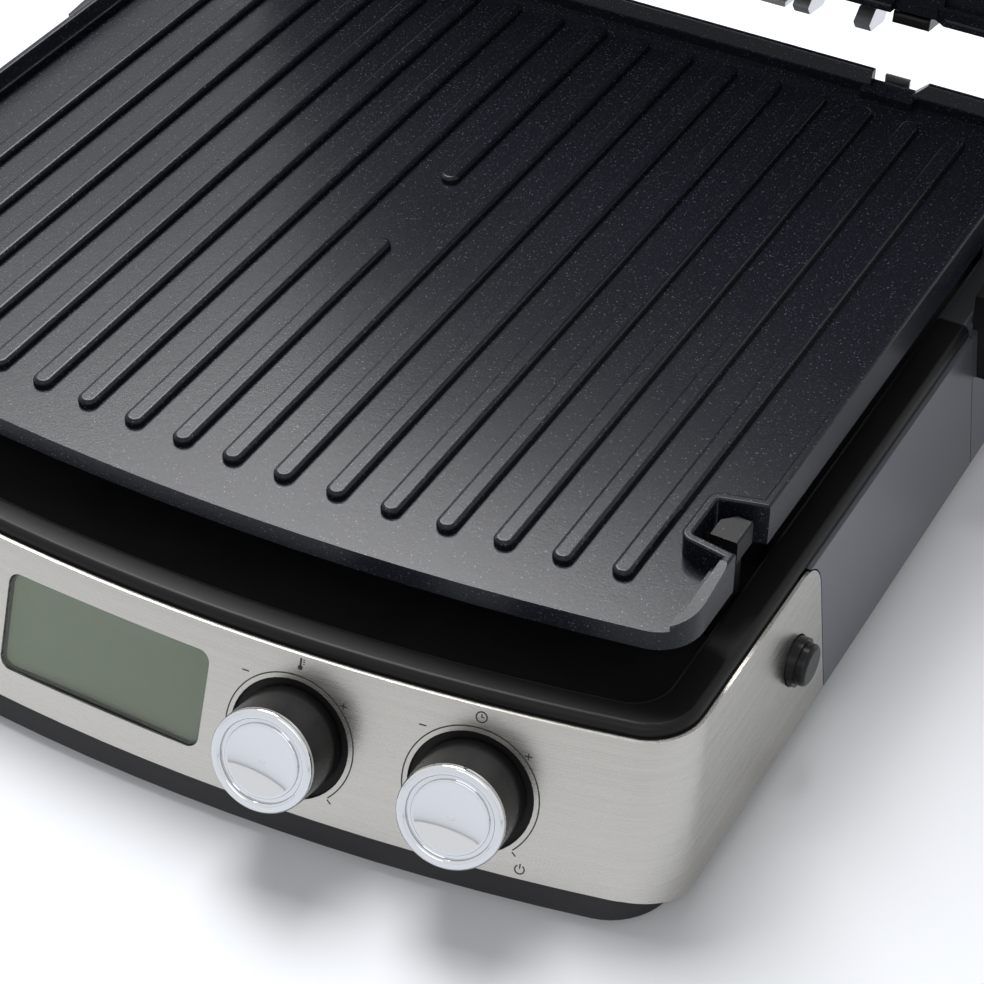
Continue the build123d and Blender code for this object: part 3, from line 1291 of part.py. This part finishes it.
def main():
    os.makedirs("parts", exist_ok=True)
    save("bottom_tray", bottom_tray())
    save("rubber_feet", rubber_feet())
    save("base_screws", base_screws())
    save("base_tub", base_tub())
    save("upper_bezel", upper_bezel())
    save("front_band", front_band())
    save_pair("side_panel", right_panel())
    save("rear_cover", rear_cover())
    save_pair("hinge_bracket", right_hinge_bracket())
    save("display_lens", display_lens())
    save("display_module", display_module())
    save("control_board", control_board())
    for name, x in zip(("temp", "time"), KNOB_X):
        save(f"{name}_encoder", encoder(x))
        save(f"{name}_knob", knob(x))
        save(f"{name}_knob_cap", knob_cap(x))
        save(f"{name}_knob_shaft", knob_shaft(x))
    save("power_board", power_board())
    save("power_relay", on_board(RELAY_SIZE, RELAY_AT))
    save("power_transformer", on_board(TRANSFORMER_SIZE, TRANSFORMER_AT))
    save("grease_tray", grease_tray())
    save("plate_tabs", plate_tabs())
    face_x = side_x(BUTTON_Z)
    save_pair("release_button", release_button(face_x, BUTTON_PROUD, BUTTON_Z))
    save_pair("plate_latch", latch(BUTTON_Z, 1))
    save("latch_springs", both_sides(latch_spring(BUTTON_Z)))
    plate, pan, element = grill_plate(), reflector_pan(), heating_element()
    save("lower_grill_plate", facing_up(plate))
    save("lower_reflector_pan", facing_up(pan))
    save("lower_heating_element", facing_up(element))
    save("lower_element_terminals", facing_up(element_terminals()))
    save("lower_thermostat", facing_up(thermostat()))
    save_pair("lid_arm", opened(right_arm()))
    save("hinge_pins", opened(hinge_pins()))
    save("handle_bar", opened(handle_bar()))
    save("handle_collars", opened(handle_collars()))
    save("handle_screws", opened(handle_screws()))
    save("lid_bezel", opened(lid_bezel()))
    save("lid_shell", opened(lid_shell()))
    save("lid_screws", opened(lid_screws()))
    save("lid_float_pins", opened(float_pins()))
    save("lid_rear_bracket", opened(lid_rear_bracket()))
    save("lid_tongues", opened(lid_tongues()))
    save("lid_hooks", opened(lid_hooks()))
    save_pair("lid_button", opened(release_button(LID_HALF_W, LID_BUTTON_PROUD, LID_BUTTON_Z)))
    save_pair("lid_latch", opened(latch(LID_BUTTON_Z, -1)))
    save("lid_latch_springs", opened(both_sides(latch_spring(LID_BUTTON_Z))))
    save("upper_grill_plate", opened(facing_down(plate)))
    save("upper_reflector_pan", opened(facing_down(pan)))
    save("upper_heating_element", opened(facing_down(element)))
    save("upper_element_terminals", opened(facing_down(element_terminals())))
    save("upper_thermostat", opened(facing_down(thermostat())))


if __name__ == "__main__":
    main()
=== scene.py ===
# %% [markdown]
# # An open contact grill
# This lesson dresses a finished CAD model of a kitchen grill. The CAD parts arrive as a fixed frame:
# they stay where they are, and every step here adds a finish, a printed mark, a light or the camera.

import json
import math

import bpy
from mathutils import Matrix, Vector


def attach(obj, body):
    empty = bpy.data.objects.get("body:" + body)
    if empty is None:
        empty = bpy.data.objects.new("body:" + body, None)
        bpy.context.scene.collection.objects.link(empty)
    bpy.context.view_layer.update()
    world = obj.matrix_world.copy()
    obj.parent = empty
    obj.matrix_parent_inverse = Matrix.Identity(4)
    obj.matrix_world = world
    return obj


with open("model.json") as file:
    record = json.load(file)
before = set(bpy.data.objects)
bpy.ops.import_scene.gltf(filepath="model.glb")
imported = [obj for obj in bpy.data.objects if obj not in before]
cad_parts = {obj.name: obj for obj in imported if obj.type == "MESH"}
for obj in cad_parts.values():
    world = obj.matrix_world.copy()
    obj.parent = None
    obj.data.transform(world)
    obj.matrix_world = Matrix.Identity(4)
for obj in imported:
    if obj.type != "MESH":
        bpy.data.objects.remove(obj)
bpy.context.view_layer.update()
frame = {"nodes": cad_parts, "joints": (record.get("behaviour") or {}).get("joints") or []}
nodes = frame["nodes"]
MM = 0.001

# %% [markdown]
# Every finish is a small network of shader nodes. Writing it as sums and products keeps it readable,
# so one class wraps a socket and turns the usual signs into Math nodes.


# %% A socket with arithmetic
class Wire:
    def __init__(self, paint, socket):
        self.paint, self.socket = paint, socket

    def maths(self, operation, a, b=0.0, clamp=False):
        settings = {"operation": operation, "use_clamp": clamp}
        return self.paint.add("ShaderNodeMath", settings, {0: a, 1: b})

    def __add__(self, other):
        return self.maths("ADD", self, other)

    def __sub__(self, other):
        return self.maths("SUBTRACT", self, other)

    def __rsub__(self, other):
        return self.maths("SUBTRACT", other, self)

    def __mul__(self, other):
        return self.maths("MULTIPLY", self, other)

    def __truediv__(self, other):
        return self.maths("DIVIDE", self, other)

    def __pow__(self, other):
        return self.maths("POWER", self, other)

    __radd__ = __add__
    __rmul__ = __mul__

    def most(self, other):
        return self.maths("MAXIMUM", self, other)

    def least(self, other):
        return self.maths("MINIMUM", self, other)

    def size(self):
        return self.maths("ABSOLUTE", self)

    def ramp(self, low, high):
        """0 up to low, 1 from high, and straight between them."""
        return self.maths("MULTIPLY", self - low, 1.0 / (high - low), clamp=True)


print("Wire is ready")

# %% [markdown]
# A Paint is one material. It makes any node from its type, its settings and its sockets, and it knows the
# three patterns that all the finishes share: coordinates in metres, soft noise and a mix of two colours.


# %% A material builder
class Paint:
    def __init__(self, name):
        self.material = bpy.data.materials.new(name)
        self.material.use_nodes = True
        self.tree = self.material.node_tree
        self.shader = self.tree.nodes["Principled BSDF"]

    def add(self, kind, settings=None, inputs=None, out=0):
        node = self.tree.nodes.new(kind)
        for key, value in (settings or {}).items():
            setattr(node, key, value)
        for key, value in (inputs or {}).items():
            self.plug(node.inputs[key], value)
        return Wire(self, node.outputs[out])

    def plug(self, socket, value):
        if isinstance(value, Wire):
            self.tree.links.new(value.socket, socket)
        else:
            socket.default_value = value

    def place(self, stretch=(1.0, 1.0, 1.0)):
        """Object coordinates in metres, each axis multiplied by its stretch."""
        here = self.add("ShaderNodeTexCoord", out=3)
        return self.add("ShaderNodeMapping", {}, {"Vector": here, "Scale": stretch})

    def axes(self, stretch=(1.0, 1.0, 1.0)):
        here = self.place(stretch)
        return [self.add("ShaderNodeSeparateXYZ", {}, {0: here}, out) for out in range(3)]

    def noise(self, scale, detail=2.0, rough=0.5, stretch=(1.0, 1.0, 1.0)):
        spots = {"Vector": self.place(stretch), "Scale": scale, "Detail": detail, "Roughness": rough}
        return self.add("ShaderNodeTexNoise", {}, spots)

    def cells(self, scale):
        """Distance from the middle of the nearest of many scattered cells."""
        return self.add("ShaderNodeTexVoronoi", {}, {"Vector": self.place(), "Scale": scale})

    def mix(self, factor, first, second):
        pair = [one if isinstance(one, Wire) else (*one, 1.0) for one in (first, second)]
        colours = {0: factor, 6: pair[0], 7: pair[1]}
        return self.add("ShaderNodeMix", {"data_type": "RGBA"}, colours, out=2)

    def bump(self, height, depth, strength=1.0):
        """Relief whose full height is depth metres."""
        relief = {"Height": height, "Distance": depth, "Strength": strength}
        self.plug(self.shader.inputs["Normal"], self.add("ShaderNodeBump", {}, relief))
        return self

    def finish(self, **values):
        for name, value in values.items():
            if isinstance(value, tuple) and len(value) == 3:
                value = (*value, 1.0)
            self.plug(self.shader.inputs[name.replace("_", " ")], value)
        return self


def dress(paint, *names):
    for name in names:
        slots = nodes[name].material_slots
        for index in range(len(slots)):
            slots[index].link = "OBJECT"
            slots[index].material = paint.material
    print(paint.material.name, "on", ", ".join(names))


print("Paint is ready")

# %% [markdown]
# The cooking plates are cast aluminium with a sprayed non-stick coat. Under a lamp it is a blue-black satin
# with a faint orange-peel relief, and thousands of mineral specks that catch the light.

# %% Non-stick coat
nonstick = Paint("non_stick_coat")
which = nonstick.noise(700.0, 1.0)
specks = (1.0 - nonstick.cells(900.0).ramp(0.12, 0.24)) * which.ramp(0.50, 0.58)
fine = (1.0 - nonstick.cells(2100.0).ramp(0.14, 0.30)) * nonstick.noise(1500.0, 1.0).ramp(0.50, 0.60)
cloud = nonstick.noise(14.0, 3.0)
coat_colour = nonstick.mix(cloud, (0.0065, 0.0075, 0.0125), (0.0095, 0.0110, 0.0170))
nonstick.finish(
    Base_Color=nonstick.mix((specks * 0.9).most(fine * 0.6), coat_colour, (0.15, 0.16, 0.20)),
    Roughness=cloud * 0.05 + 0.23 - specks * 0.06,
    Specular_IOR_Level=0.20,
)
nonstick.bump(nonstick.noise(1100.0, 2.0) + nonstick.noise(260.0, 2.0) * 0.8, 0.00004, 0.5)
dress(nonstick, "lower_grill_plate", "upper_grill_plate")

# %% [markdown]
# Mouldings come in two blacks. The visible top edge, the knobs and the buttons are nearly glossy; the tray and
# the well under the plate are a plain spark-eroded matt. The well is painted darker still, as painted shade for the
# shadow inside it.

# %% Black mouldings
gloss_black = Paint("semi_gloss_black")
smudge = gloss_black.noise(30.0, 3.0)
gloss_black.finish(Base_Color=gloss_black.mix(smudge, (0.010, 0.010, 0.011), (0.014, 0.014, 0.015)))
gloss_black.finish(Roughness=smudge * 0.10 + 0.22, Specular_IOR_Level=0.20)
gloss_black.bump(gloss_black.noise(900.0, 2.0), 0.00002, 0.35)
glossy = ["hinge_bracket_right", "hinge_bracket_left", "temp_knob", "time_knob"]
glossy += ["release_button_right", "release_button_left", "lid_button_right", "lid_button_left"]
glossy += ["handle_collars", "lid_bezel", "lid_hooks"]
dress(gloss_black, *glossy)

satin_black = Paint("satin_black")
sheen = satin_black.noise(30.0, 3.0)
satin_black.finish(Base_Color=satin_black.mix(sheen, (0.009, 0.009, 0.010), (0.013, 0.013, 0.014)))
satin_black.finish(Roughness=sheen * 0.08 + 0.33, Specular_IOR_Level=0.16)
satin_black.bump(satin_black.noise(900.0, 2.0), 0.00002, 0.3)
dress(satin_black, "upper_bezel")

matt_black = Paint("matt_black")
grain = matt_black.noise(1400.0, 2.0)
matt_black.finish(Base_Color=matt_black.mix(grain, (0.014, 0.014, 0.017), (0.024, 0.024, 0.028)))
matt_black.finish(Roughness=grain * 0.12 + 0.50, Specular_IOR_Level=0.4)
matt_black.bump(grain, 0.00006, 0.5)
dress(matt_black, "bottom_tray", "grease_tray")

# Painted shade: the well's black is darker than the tray's matt black and stands in for the shadow in the well under
# the plate.
well_painted_shade = Paint("well_black_painted_shade")
soot = well_painted_shade.noise(80.0, 4.0)
well_painted_shade.finish(Base_Color=well_painted_shade.mix(soot, (0.004, 0.004, 0.005), (0.009, 0.009, 0.010)))
well_painted_shade.finish(Roughness=soot * 0.15 + 0.45, Specular_IOR_Level=0.35)
well_painted_shade.bump(well_painted_shade.noise(1200.0, 2.0), 0.00004, 0.5)
dress(well_painted_shade, "base_tub")

# %% [markdown]
# The latches are the same black, and their edges are rubbed bare where the plates go on and off. Here the rub
# follows noise alone, so it falls in patches anywhere on each hook.

# %% Worn latches
worn_black = Paint("worn_black")
scrape = worn_black.noise(420.0, 4.0, 0.7)
bare = scrape.ramp(0.64, 0.72)
worn_black.finish(Base_Color=worn_black.mix(bare, (0.006, 0.006, 0.007), (0.20, 0.19, 0.18)))
worn_black.finish(Roughness=0.42 - bare * 0.12, Metallic=bare, Specular_IOR_Level=0.2)
worn_black.bump(scrape, 0.00008, 0.6)
dress(worn_black, "plate_latch_right", "plate_latch_left", "lid_latch_right", "lid_latch_left")

# %% [markdown]
# The fascia, the lid and the handle are stainless steel brushed along their length. Noise stretched a few
# hundred times in one direction gives the long hairlines, in colour, roughness and relief.


# %% Brushed steel
def brushed(name, stretch, tone):
    steel = Paint(name)
    lines = steel.noise(1.0, 3.0, 0.6, stretch)
    broad = steel.noise(1.0, 2.0, 0.5, tuple(0.12 * part for part in stretch))
    low, high = tuple(0.84 * c for c in tone), tuple(1.08 * c for c in tone)
    steel.finish(Base_Color=steel.mix(lines * 0.6 + broad * 0.4, low, high))
    steel.finish(Roughness=lines * 0.14 + broad * 0.05 + 0.18, Metallic=1.0)
    return steel.bump(lines, 0.00002, 0.35)


warm_steel = (0.51, 0.495, 0.465)
band_steel = brushed("brushed_fascia", (16.0, 16.0, 5200.0), warm_steel)
lid_steel = brushed("brushed_lid", (16.0, 5200.0, 5200.0), warm_steel)
arm_steel = brushed("brushed_arm", (5200.0, 5200.0, 16.0), warm_steel)
dress(band_steel, "front_band")
dress(lid_steel, "lid_shell", "handle_bar")
dress(arm_steel, "lid_arm_right", "lid_arm_left")

# %% [markdown]
# The side panels and the rear cover are sprayed a satin blue-grey, with a metallic flake too fine to see
# except as a slight sparkle in the roughness.

# %% Satin grey paint
satin_grey = Paint("satin_grey_paint")
flake = satin_grey.noise(1800.0, 1.0)
drift = satin_grey.noise(6.0, 2.0)
grey_mix = flake * 0.5 + drift * 0.5
satin_grey.finish(Base_Color=satin_grey.mix(grey_mix, (0.150, 0.156, 0.180), (0.190, 0.196, 0.222)))
satin_grey.finish(Roughness=flake * 0.10 + 0.26, Metallic=0.5)
satin_grey.bump(flake, 0.00002, 0.3)
dress(satin_grey, "side_panel_right", "side_panel_left", "rear_cover")

# %% [markdown]
# Bright parts: chromed knob faces, plain pressed metal for pans, pins, springs and screws, and the heater
# tubes, which the heat has darkened.

# %% Bright and heated metal
chrome = Paint("chrome")
breath = chrome.noise(60.0, 3.0)
chrome.finish(Base_Color=(0.63, 0.645, 0.67), Metallic=1.0, Roughness=breath * 0.05 + 0.03)
dress(chrome, "temp_knob_cap", "time_knob_cap")

pressed = Paint("pressed_metal")
rolled = pressed.noise(1.0, 3.0, 0.6, (40.0, 900.0, 900.0))
pressed.finish(Base_Color=pressed.mix(rolled, (0.42, 0.43, 0.45), (0.60, 0.61, 0.63)))
pressed.finish(Metallic=1.0, Roughness=rolled * 0.2 + 0.22)
bright = ["base_screws", "plate_tabs", "latch_springs", "lower_reflector_pan", "lower_thermostat", "hinge_pins"]
bright += ["handle_screws", "lid_screws", "lid_float_pins", "lid_rear_bracket", "lid_latch_springs"]
bright += ["upper_reflector_pan", "upper_thermostat", "temp_knob_shaft", "time_knob_shaft"]
bright += ["temp_encoder", "time_encoder", "lid_tongues"]
dress(pressed, *bright)

heated = Paint("heated_tube")
scale = heated.noise(120.0, 4.0, 0.6)
heated.finish(Base_Color=heated.mix(scale, (0.10, 0.085, 0.075), (0.26, 0.22, 0.20)))
heated.finish(Metallic=0.8, Roughness=scale * 0.25 + 0.35)
dress(heated, "lower_heating_element", "upper_heating_element")

# %% [markdown]
# Inside are glazed ceramic terminals, rubber feet, a fibreglass board with copper tracks, the moulded
# case of a relay and the copper winding of a transformer. They show when a plate is off or the grill is turned over.

# %% Inside parts
ceramic = Paint("glazed_ceramic")
crackle = ceramic.noise(500.0, 3.0)
ceramic.finish(Base_Color=ceramic.mix(crackle, (0.74, 0.70, 0.62), (0.82, 0.79, 0.72)))
ceramic.finish(Roughness=crackle * 0.1 + 0.18)
dress(ceramic, "lower_element_terminals", "upper_element_terminals")

rubber = Paint("rubber")
dust = rubber.noise(300.0, 4.0)
rubber.finish(Base_Color=rubber.mix(dust, (0.018, 0.018, 0.018), (0.045, 0.044, 0.042)), Roughness=dust * 0.2 + 0.68)
rubber.bump(dust, 0.00008, 0.5)
dress(rubber, "rubber_feet")

board = Paint("circuit_board")
tracks = (board.cells(260.0) * 9.0).ramp(0.42, 0.5)
board.finish(Base_Color=board.mix(tracks, (0.012, 0.060, 0.022), (0.030, 0.130, 0.050)), Roughness=0.42 - tracks * 0.1)
dress(board, "control_board", "power_board")

blue_case = Paint("relay_case")
case_grain = blue_case.noise(900.0)
blue_case.finish(Base_Color=blue_case.mix(case_grain, (0.015, 0.04, 0.18), (0.02, 0.055, 0.24)), Roughness=0.35)
dress(blue_case, "power_relay")

winding = Paint("copper_winding")
turns = winding.noise(1.0, 1.0, 0.5, (20.0, 20.0, 4000.0))
winding.finish(Base_Color=winding.mix(turns, (0.30, 0.12, 0.04), (0.62, 0.30, 0.12)), Metallic=0.8, Roughness=0.35)
winding.bump(turns, 0.0001, 0.6)
dress(winding, "power_transformer")

# %% [markdown]
# The display is a liquid crystal panel behind a clear window. Switched off it is a plain grey-green, with painted
# shade making it darker towards the right end and towards the bottom.

# %% Display
panel = Paint("liquid_crystal")
x, y, z = panel.axes()
# Painted shade: the panel colour darkens towards its right end and towards its bottom edge.
painted_shade_ramp = (x + 0.035).ramp(0.0, 0.07) * 0.7 + (0.048 - z).ramp(0.0, 0.03) * 0.3
green = panel.mix(painted_shade_ramp, (0.170, 0.235, 0.115), (0.120, 0.170, 0.080))
panel.finish(Base_Color=green, Roughness=0.35)
dress(panel, "display_module")

window = Paint("clear_window")
window.finish(Base_Color=(0.8, 0.85, 0.8), Roughness=0.04, Alpha=0.12)
dress(window, "display_lens")

# %% [markdown]
# Round each knob the fascia carries a fine printed ring, open at the lower left, with a minus and a plus. The
# fascia is bowed, so each mark starts flat and is then shrunk on to the steel.

# %% Where the fascia is
joints = {joint["name"]: joint for joint in frame["joints"]}
knobs = {name: joints[name + "_turn"] for name in ("temp", "time")}


def fascia_matrix(name):
    """Maps flat drawing coordinates, in millimetres, on to the fascia round a knob."""
    outward = Vector(knobs[name]["axis"]).normalized()
    along = Vector((-outward.y, outward.x, 0.0)).normalized()
    up = outward.cross(along)
    turn = Matrix((along, up, outward)).transposed().to_4x4()
    return Matrix.Translation(Vector(knobs[name]["pos_m"])) @ turn @ Matrix.Scale(MM, 4)


print("knob axes:", {name: tuple(round(c, 3) for c in joint["axis"]) for name, joint in knobs.items()})

# %% Printing ink
ink = Paint("printing_ink")
ink_wear = ink.noise(2500.0, 2.0)
ink.finish(Base_Color=ink.mix(ink_wear, (0.018, 0.018, 0.018), (0.05, 0.05, 0.05)), Roughness=0.55)
LINE = 0.38


def deselect():
    bpy.ops.object.select_all(action="DESELECT")


def flat_arc(radius, start, end, centre=(0.0, 0.0)):
    """A thin flat arc, in millimetres: part of a circle, extruded and scaled about its centre."""
    deselect()
    outer = radius + LINE / 2
    bpy.ops.mesh.primitive_circle_add(vertices=144, radius=outer, location=(*centre, 0.0))
    arc = bpy.context.object
    bpy.ops.object.transform_apply(location=True, rotation=True, scale=True)
    bpy.ops.object.mode_set(mode="EDIT")
    bpy.ops.mesh.select_mode(type="VERT")
    bpy.ops.mesh.select_all(action="DESELECT")
    bpy.ops.object.mode_set(mode="OBJECT")
    for vertex in arc.data.vertices:
        angle = math.degrees(math.atan2(vertex.co.y - centre[1], vertex.co.x - centre[0]))
        vertex.select = (angle - start) % 360 > (end - start)
    bpy.ops.object.mode_set(mode="EDIT")
    bpy.ops.mesh.delete(type="VERT")
    bpy.ops.mesh.select_all(action="SELECT")
    bpy.ops.mesh.extrude_edges_move()
    shrink = (radius - LINE / 2) / outer
    bpy.ops.transform.resize(value=(shrink, shrink, 1.0), center_override=(*centre, 0.0))
    bpy.ops.object.mode_set(mode="OBJECT")
    return arc


def flat_bar(width, height, centre, angle=0.0):
    deselect()
    bpy.ops.mesh.primitive_plane_add(size=1.0, location=(*centre, 0.0), rotation=(0, 0, math.radians(angle)))
    bar = bpy.context.object
    bar.scale = (width, height, 1.0)
    bpy.ops.object.transform_apply(location=True, rotation=True, scale=True)
    bpy.ops.object.mode_set(mode="EDIT")
    bpy.ops.mesh.select_all(action="SELECT")
    bpy.ops.mesh.subdivide(number_cuts=3)
    bpy.ops.object.mode_set(mode="OBJECT")
    return bar


def flat_dot(radius, centre):
    deselect()
    bpy.ops.mesh.primitive_circle_add(vertices=24, radius=radius, fill_type="TRIFAN", location=(*centre, 0.0))
    dot = bpy.context.object
    bpy.ops.object.transform_apply(location=True, rotation=True, scale=True)
    return dot


def print_on_steel(name, pieces, knob):
    """Join flat pieces, lay them on the fascia round a knob and shrink them to the steel."""
    deselect()
    for piece in pieces:
        piece.select_set(True)
    bpy.context.view_layer.objects.active = pieces[0]
    bpy.ops.object.join()
    mark = bpy.context.object
    mark.name = name
    mark.data.transform(fascia_matrix(knob))
    wrap = mark.modifiers.new("on_steel", "SHRINKWRAP")
    wrap.target, wrap.wrap_method, wrap.wrap_mode = nodes["front_band"], "NEAREST_SURFACEPOINT", "ABOVE_SURFACE"
    wrap.offset = 0.00006
    bpy.ops.object.modifier_apply(modifier="on_steel")
    mark.data.materials.clear()
    mark.data.materials.append(ink.material)
    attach(mark, "base")
    print(name, len(mark.data.vertices), "points")


# %% Rings and signs
def ring_marks():
    tick = flat_bar(LINE, 1.6, (14.6, -15.2), 47)
    minus = flat_bar(2.1, LINE, (-15.6, 16.4))
    plus = [flat_bar(2.1, LINE, (15.1, 15.0)), flat_bar(LINE, 2.1, (15.1, 15.0))]
    return [flat_arc(19.9, -46, 222), tick, minus, *plus]


def thermometer(x, y):
    stem = flat_bar(0.55, 2.6, (x, y + 0.5))
    scale_marks = [flat_bar(0.6, 0.25, (x + 0.95, y + 0.9 * step)) for step in (0.2, 0.9, 1.6)]
    return [flat_dot(0.75, (x, y - 1.1)), stem, *scale_marks]


def clock(x, y):
    hands = [flat_bar(0.3, 1.1, (x, y + 0.45)), flat_bar(0.8, 0.3, (x + 0.35, y))]
    return [flat_arc(1.55, 0, 359.9, (x, y)), *hands]


def power_sign(x, y):
    return [flat_arc(1.35, 122, 418, (x, y)), flat_bar(0.38, 1.5, (x, y + 1.0))]


print_on_steel("temp_ring", ring_marks() + thermometer(0.8, 23.6), "temp")
print_on_steel("time_ring", ring_marks() + clock(0.7, 23.2) + power_sign(16.8, -19.4), "time")

# %% [markdown]
# The grill stands on a white sweep. A camera ray sees it as plain white, so it reads as the photo's background,
# while the shadow under the grill stays.

# %% Floor
deselect()
bpy.ops.mesh.primitive_plane_add(size=12.0, location=(0, 0, 0))
floor = bpy.context.object
floor.name = "studio_floor"
sweep = Paint("studio_floor")
sweep.finish(Base_Color=(0.84, 0.86, 0.90), Roughness=0.7, Specular_IOR_Level=0.1)
seen = sweep.add("ShaderNodeLightPath", out=0).most(sweep.add("ShaderNodeLightPath", out=3))
sweep.finish(Emission_Color=(0.97, 0.98, 1.0), Emission_Strength=seen * 0.11)
floor.data.materials.append(sweep.material)
print("floor laid")

# %% [markdown]
# One large soft box hangs high above the grill, to the left and behind, so that a short soft shadow falls to
# the front and right. A weaker one fills in from the front. The room is white to the camera and in reflections, and dimmer as light.


# %% Lamps
def soft_box(name, place, target, size, watts):
    light = bpy.data.lights.new(name, "AREA")
    light.shape, light.size, light.size_y, light.energy = "RECTANGLE", size[0], size[1], watts
    lamp = bpy.data.objects.new(name, light)
    bpy.context.scene.collection.objects.link(lamp)
    lamp.location = place
    lamp.rotation_euler = (Vector(target) - Vector(place)).to_track_quat("-Z", "Y").to_euler()
    return lamp


soft_box("top_box", (-0.75, 0.85, 1.80), (0, 0, 0.1), (1.1, 1.1), 60)
soft_box("front_box", (0.5, -1.7, 1.5), (0, 0, 0.1), (1.2, 0.9), 5)
world = bpy.data.worlds.new("studio")
bpy.context.scene.world = world
world.use_nodes = True
room = world.node_tree
path = room.nodes.new("ShaderNodeLightPath")
shown = room.nodes["Background"].inputs["Strength"]
rays = [path.outputs[name] for name in ("Is Camera Ray", "Is Glossy Ray", "Is Transmission Ray")]
level = rays[0]
for ray in rays[1:]:
    either = room.nodes.new("ShaderNodeMath")
    either.operation = "MAXIMUM"
    room.links.new(level, either.inputs[0])
    room.links.new(ray, either.inputs[1])
    level = either.outputs[0]
scaled = room.nodes.new("ShaderNodeMapRange")
scaled.inputs["To Min"].default_value = 0.20
scaled.inputs["To Max"].default_value = 1.0
room.links.new(level, scaled.inputs["Value"])
room.links.new(scaled.outputs["Result"], shown)
room.nodes["Background"].inputs["Color"].default_value = (1, 1, 1, 1)
print("two soft boxes and the room")

# %% [markdown]
# The camera stands to the front right and looks down at the grill, with a long lens.

# %% Camera
eye = bpy.data.cameras.new("camera")
eye.lens, eye.sensor_width, eye.sensor_fit = 95.45, 36.0, "HORIZONTAL"
camera = bpy.data.objects.new("camera", eye)
bpy.context.scene.collection.objects.link(camera)
camera.location = (0.3611, -0.6236, 0.5580)
camera.rotation_euler = (math.radians(90.0 - 40.72), 0.0, math.radians(29.39))
bpy.context.scene.camera = camera
bpy.context.scene.view_settings.view_transform = "Standard"
print("camera", tuple(camera.location))
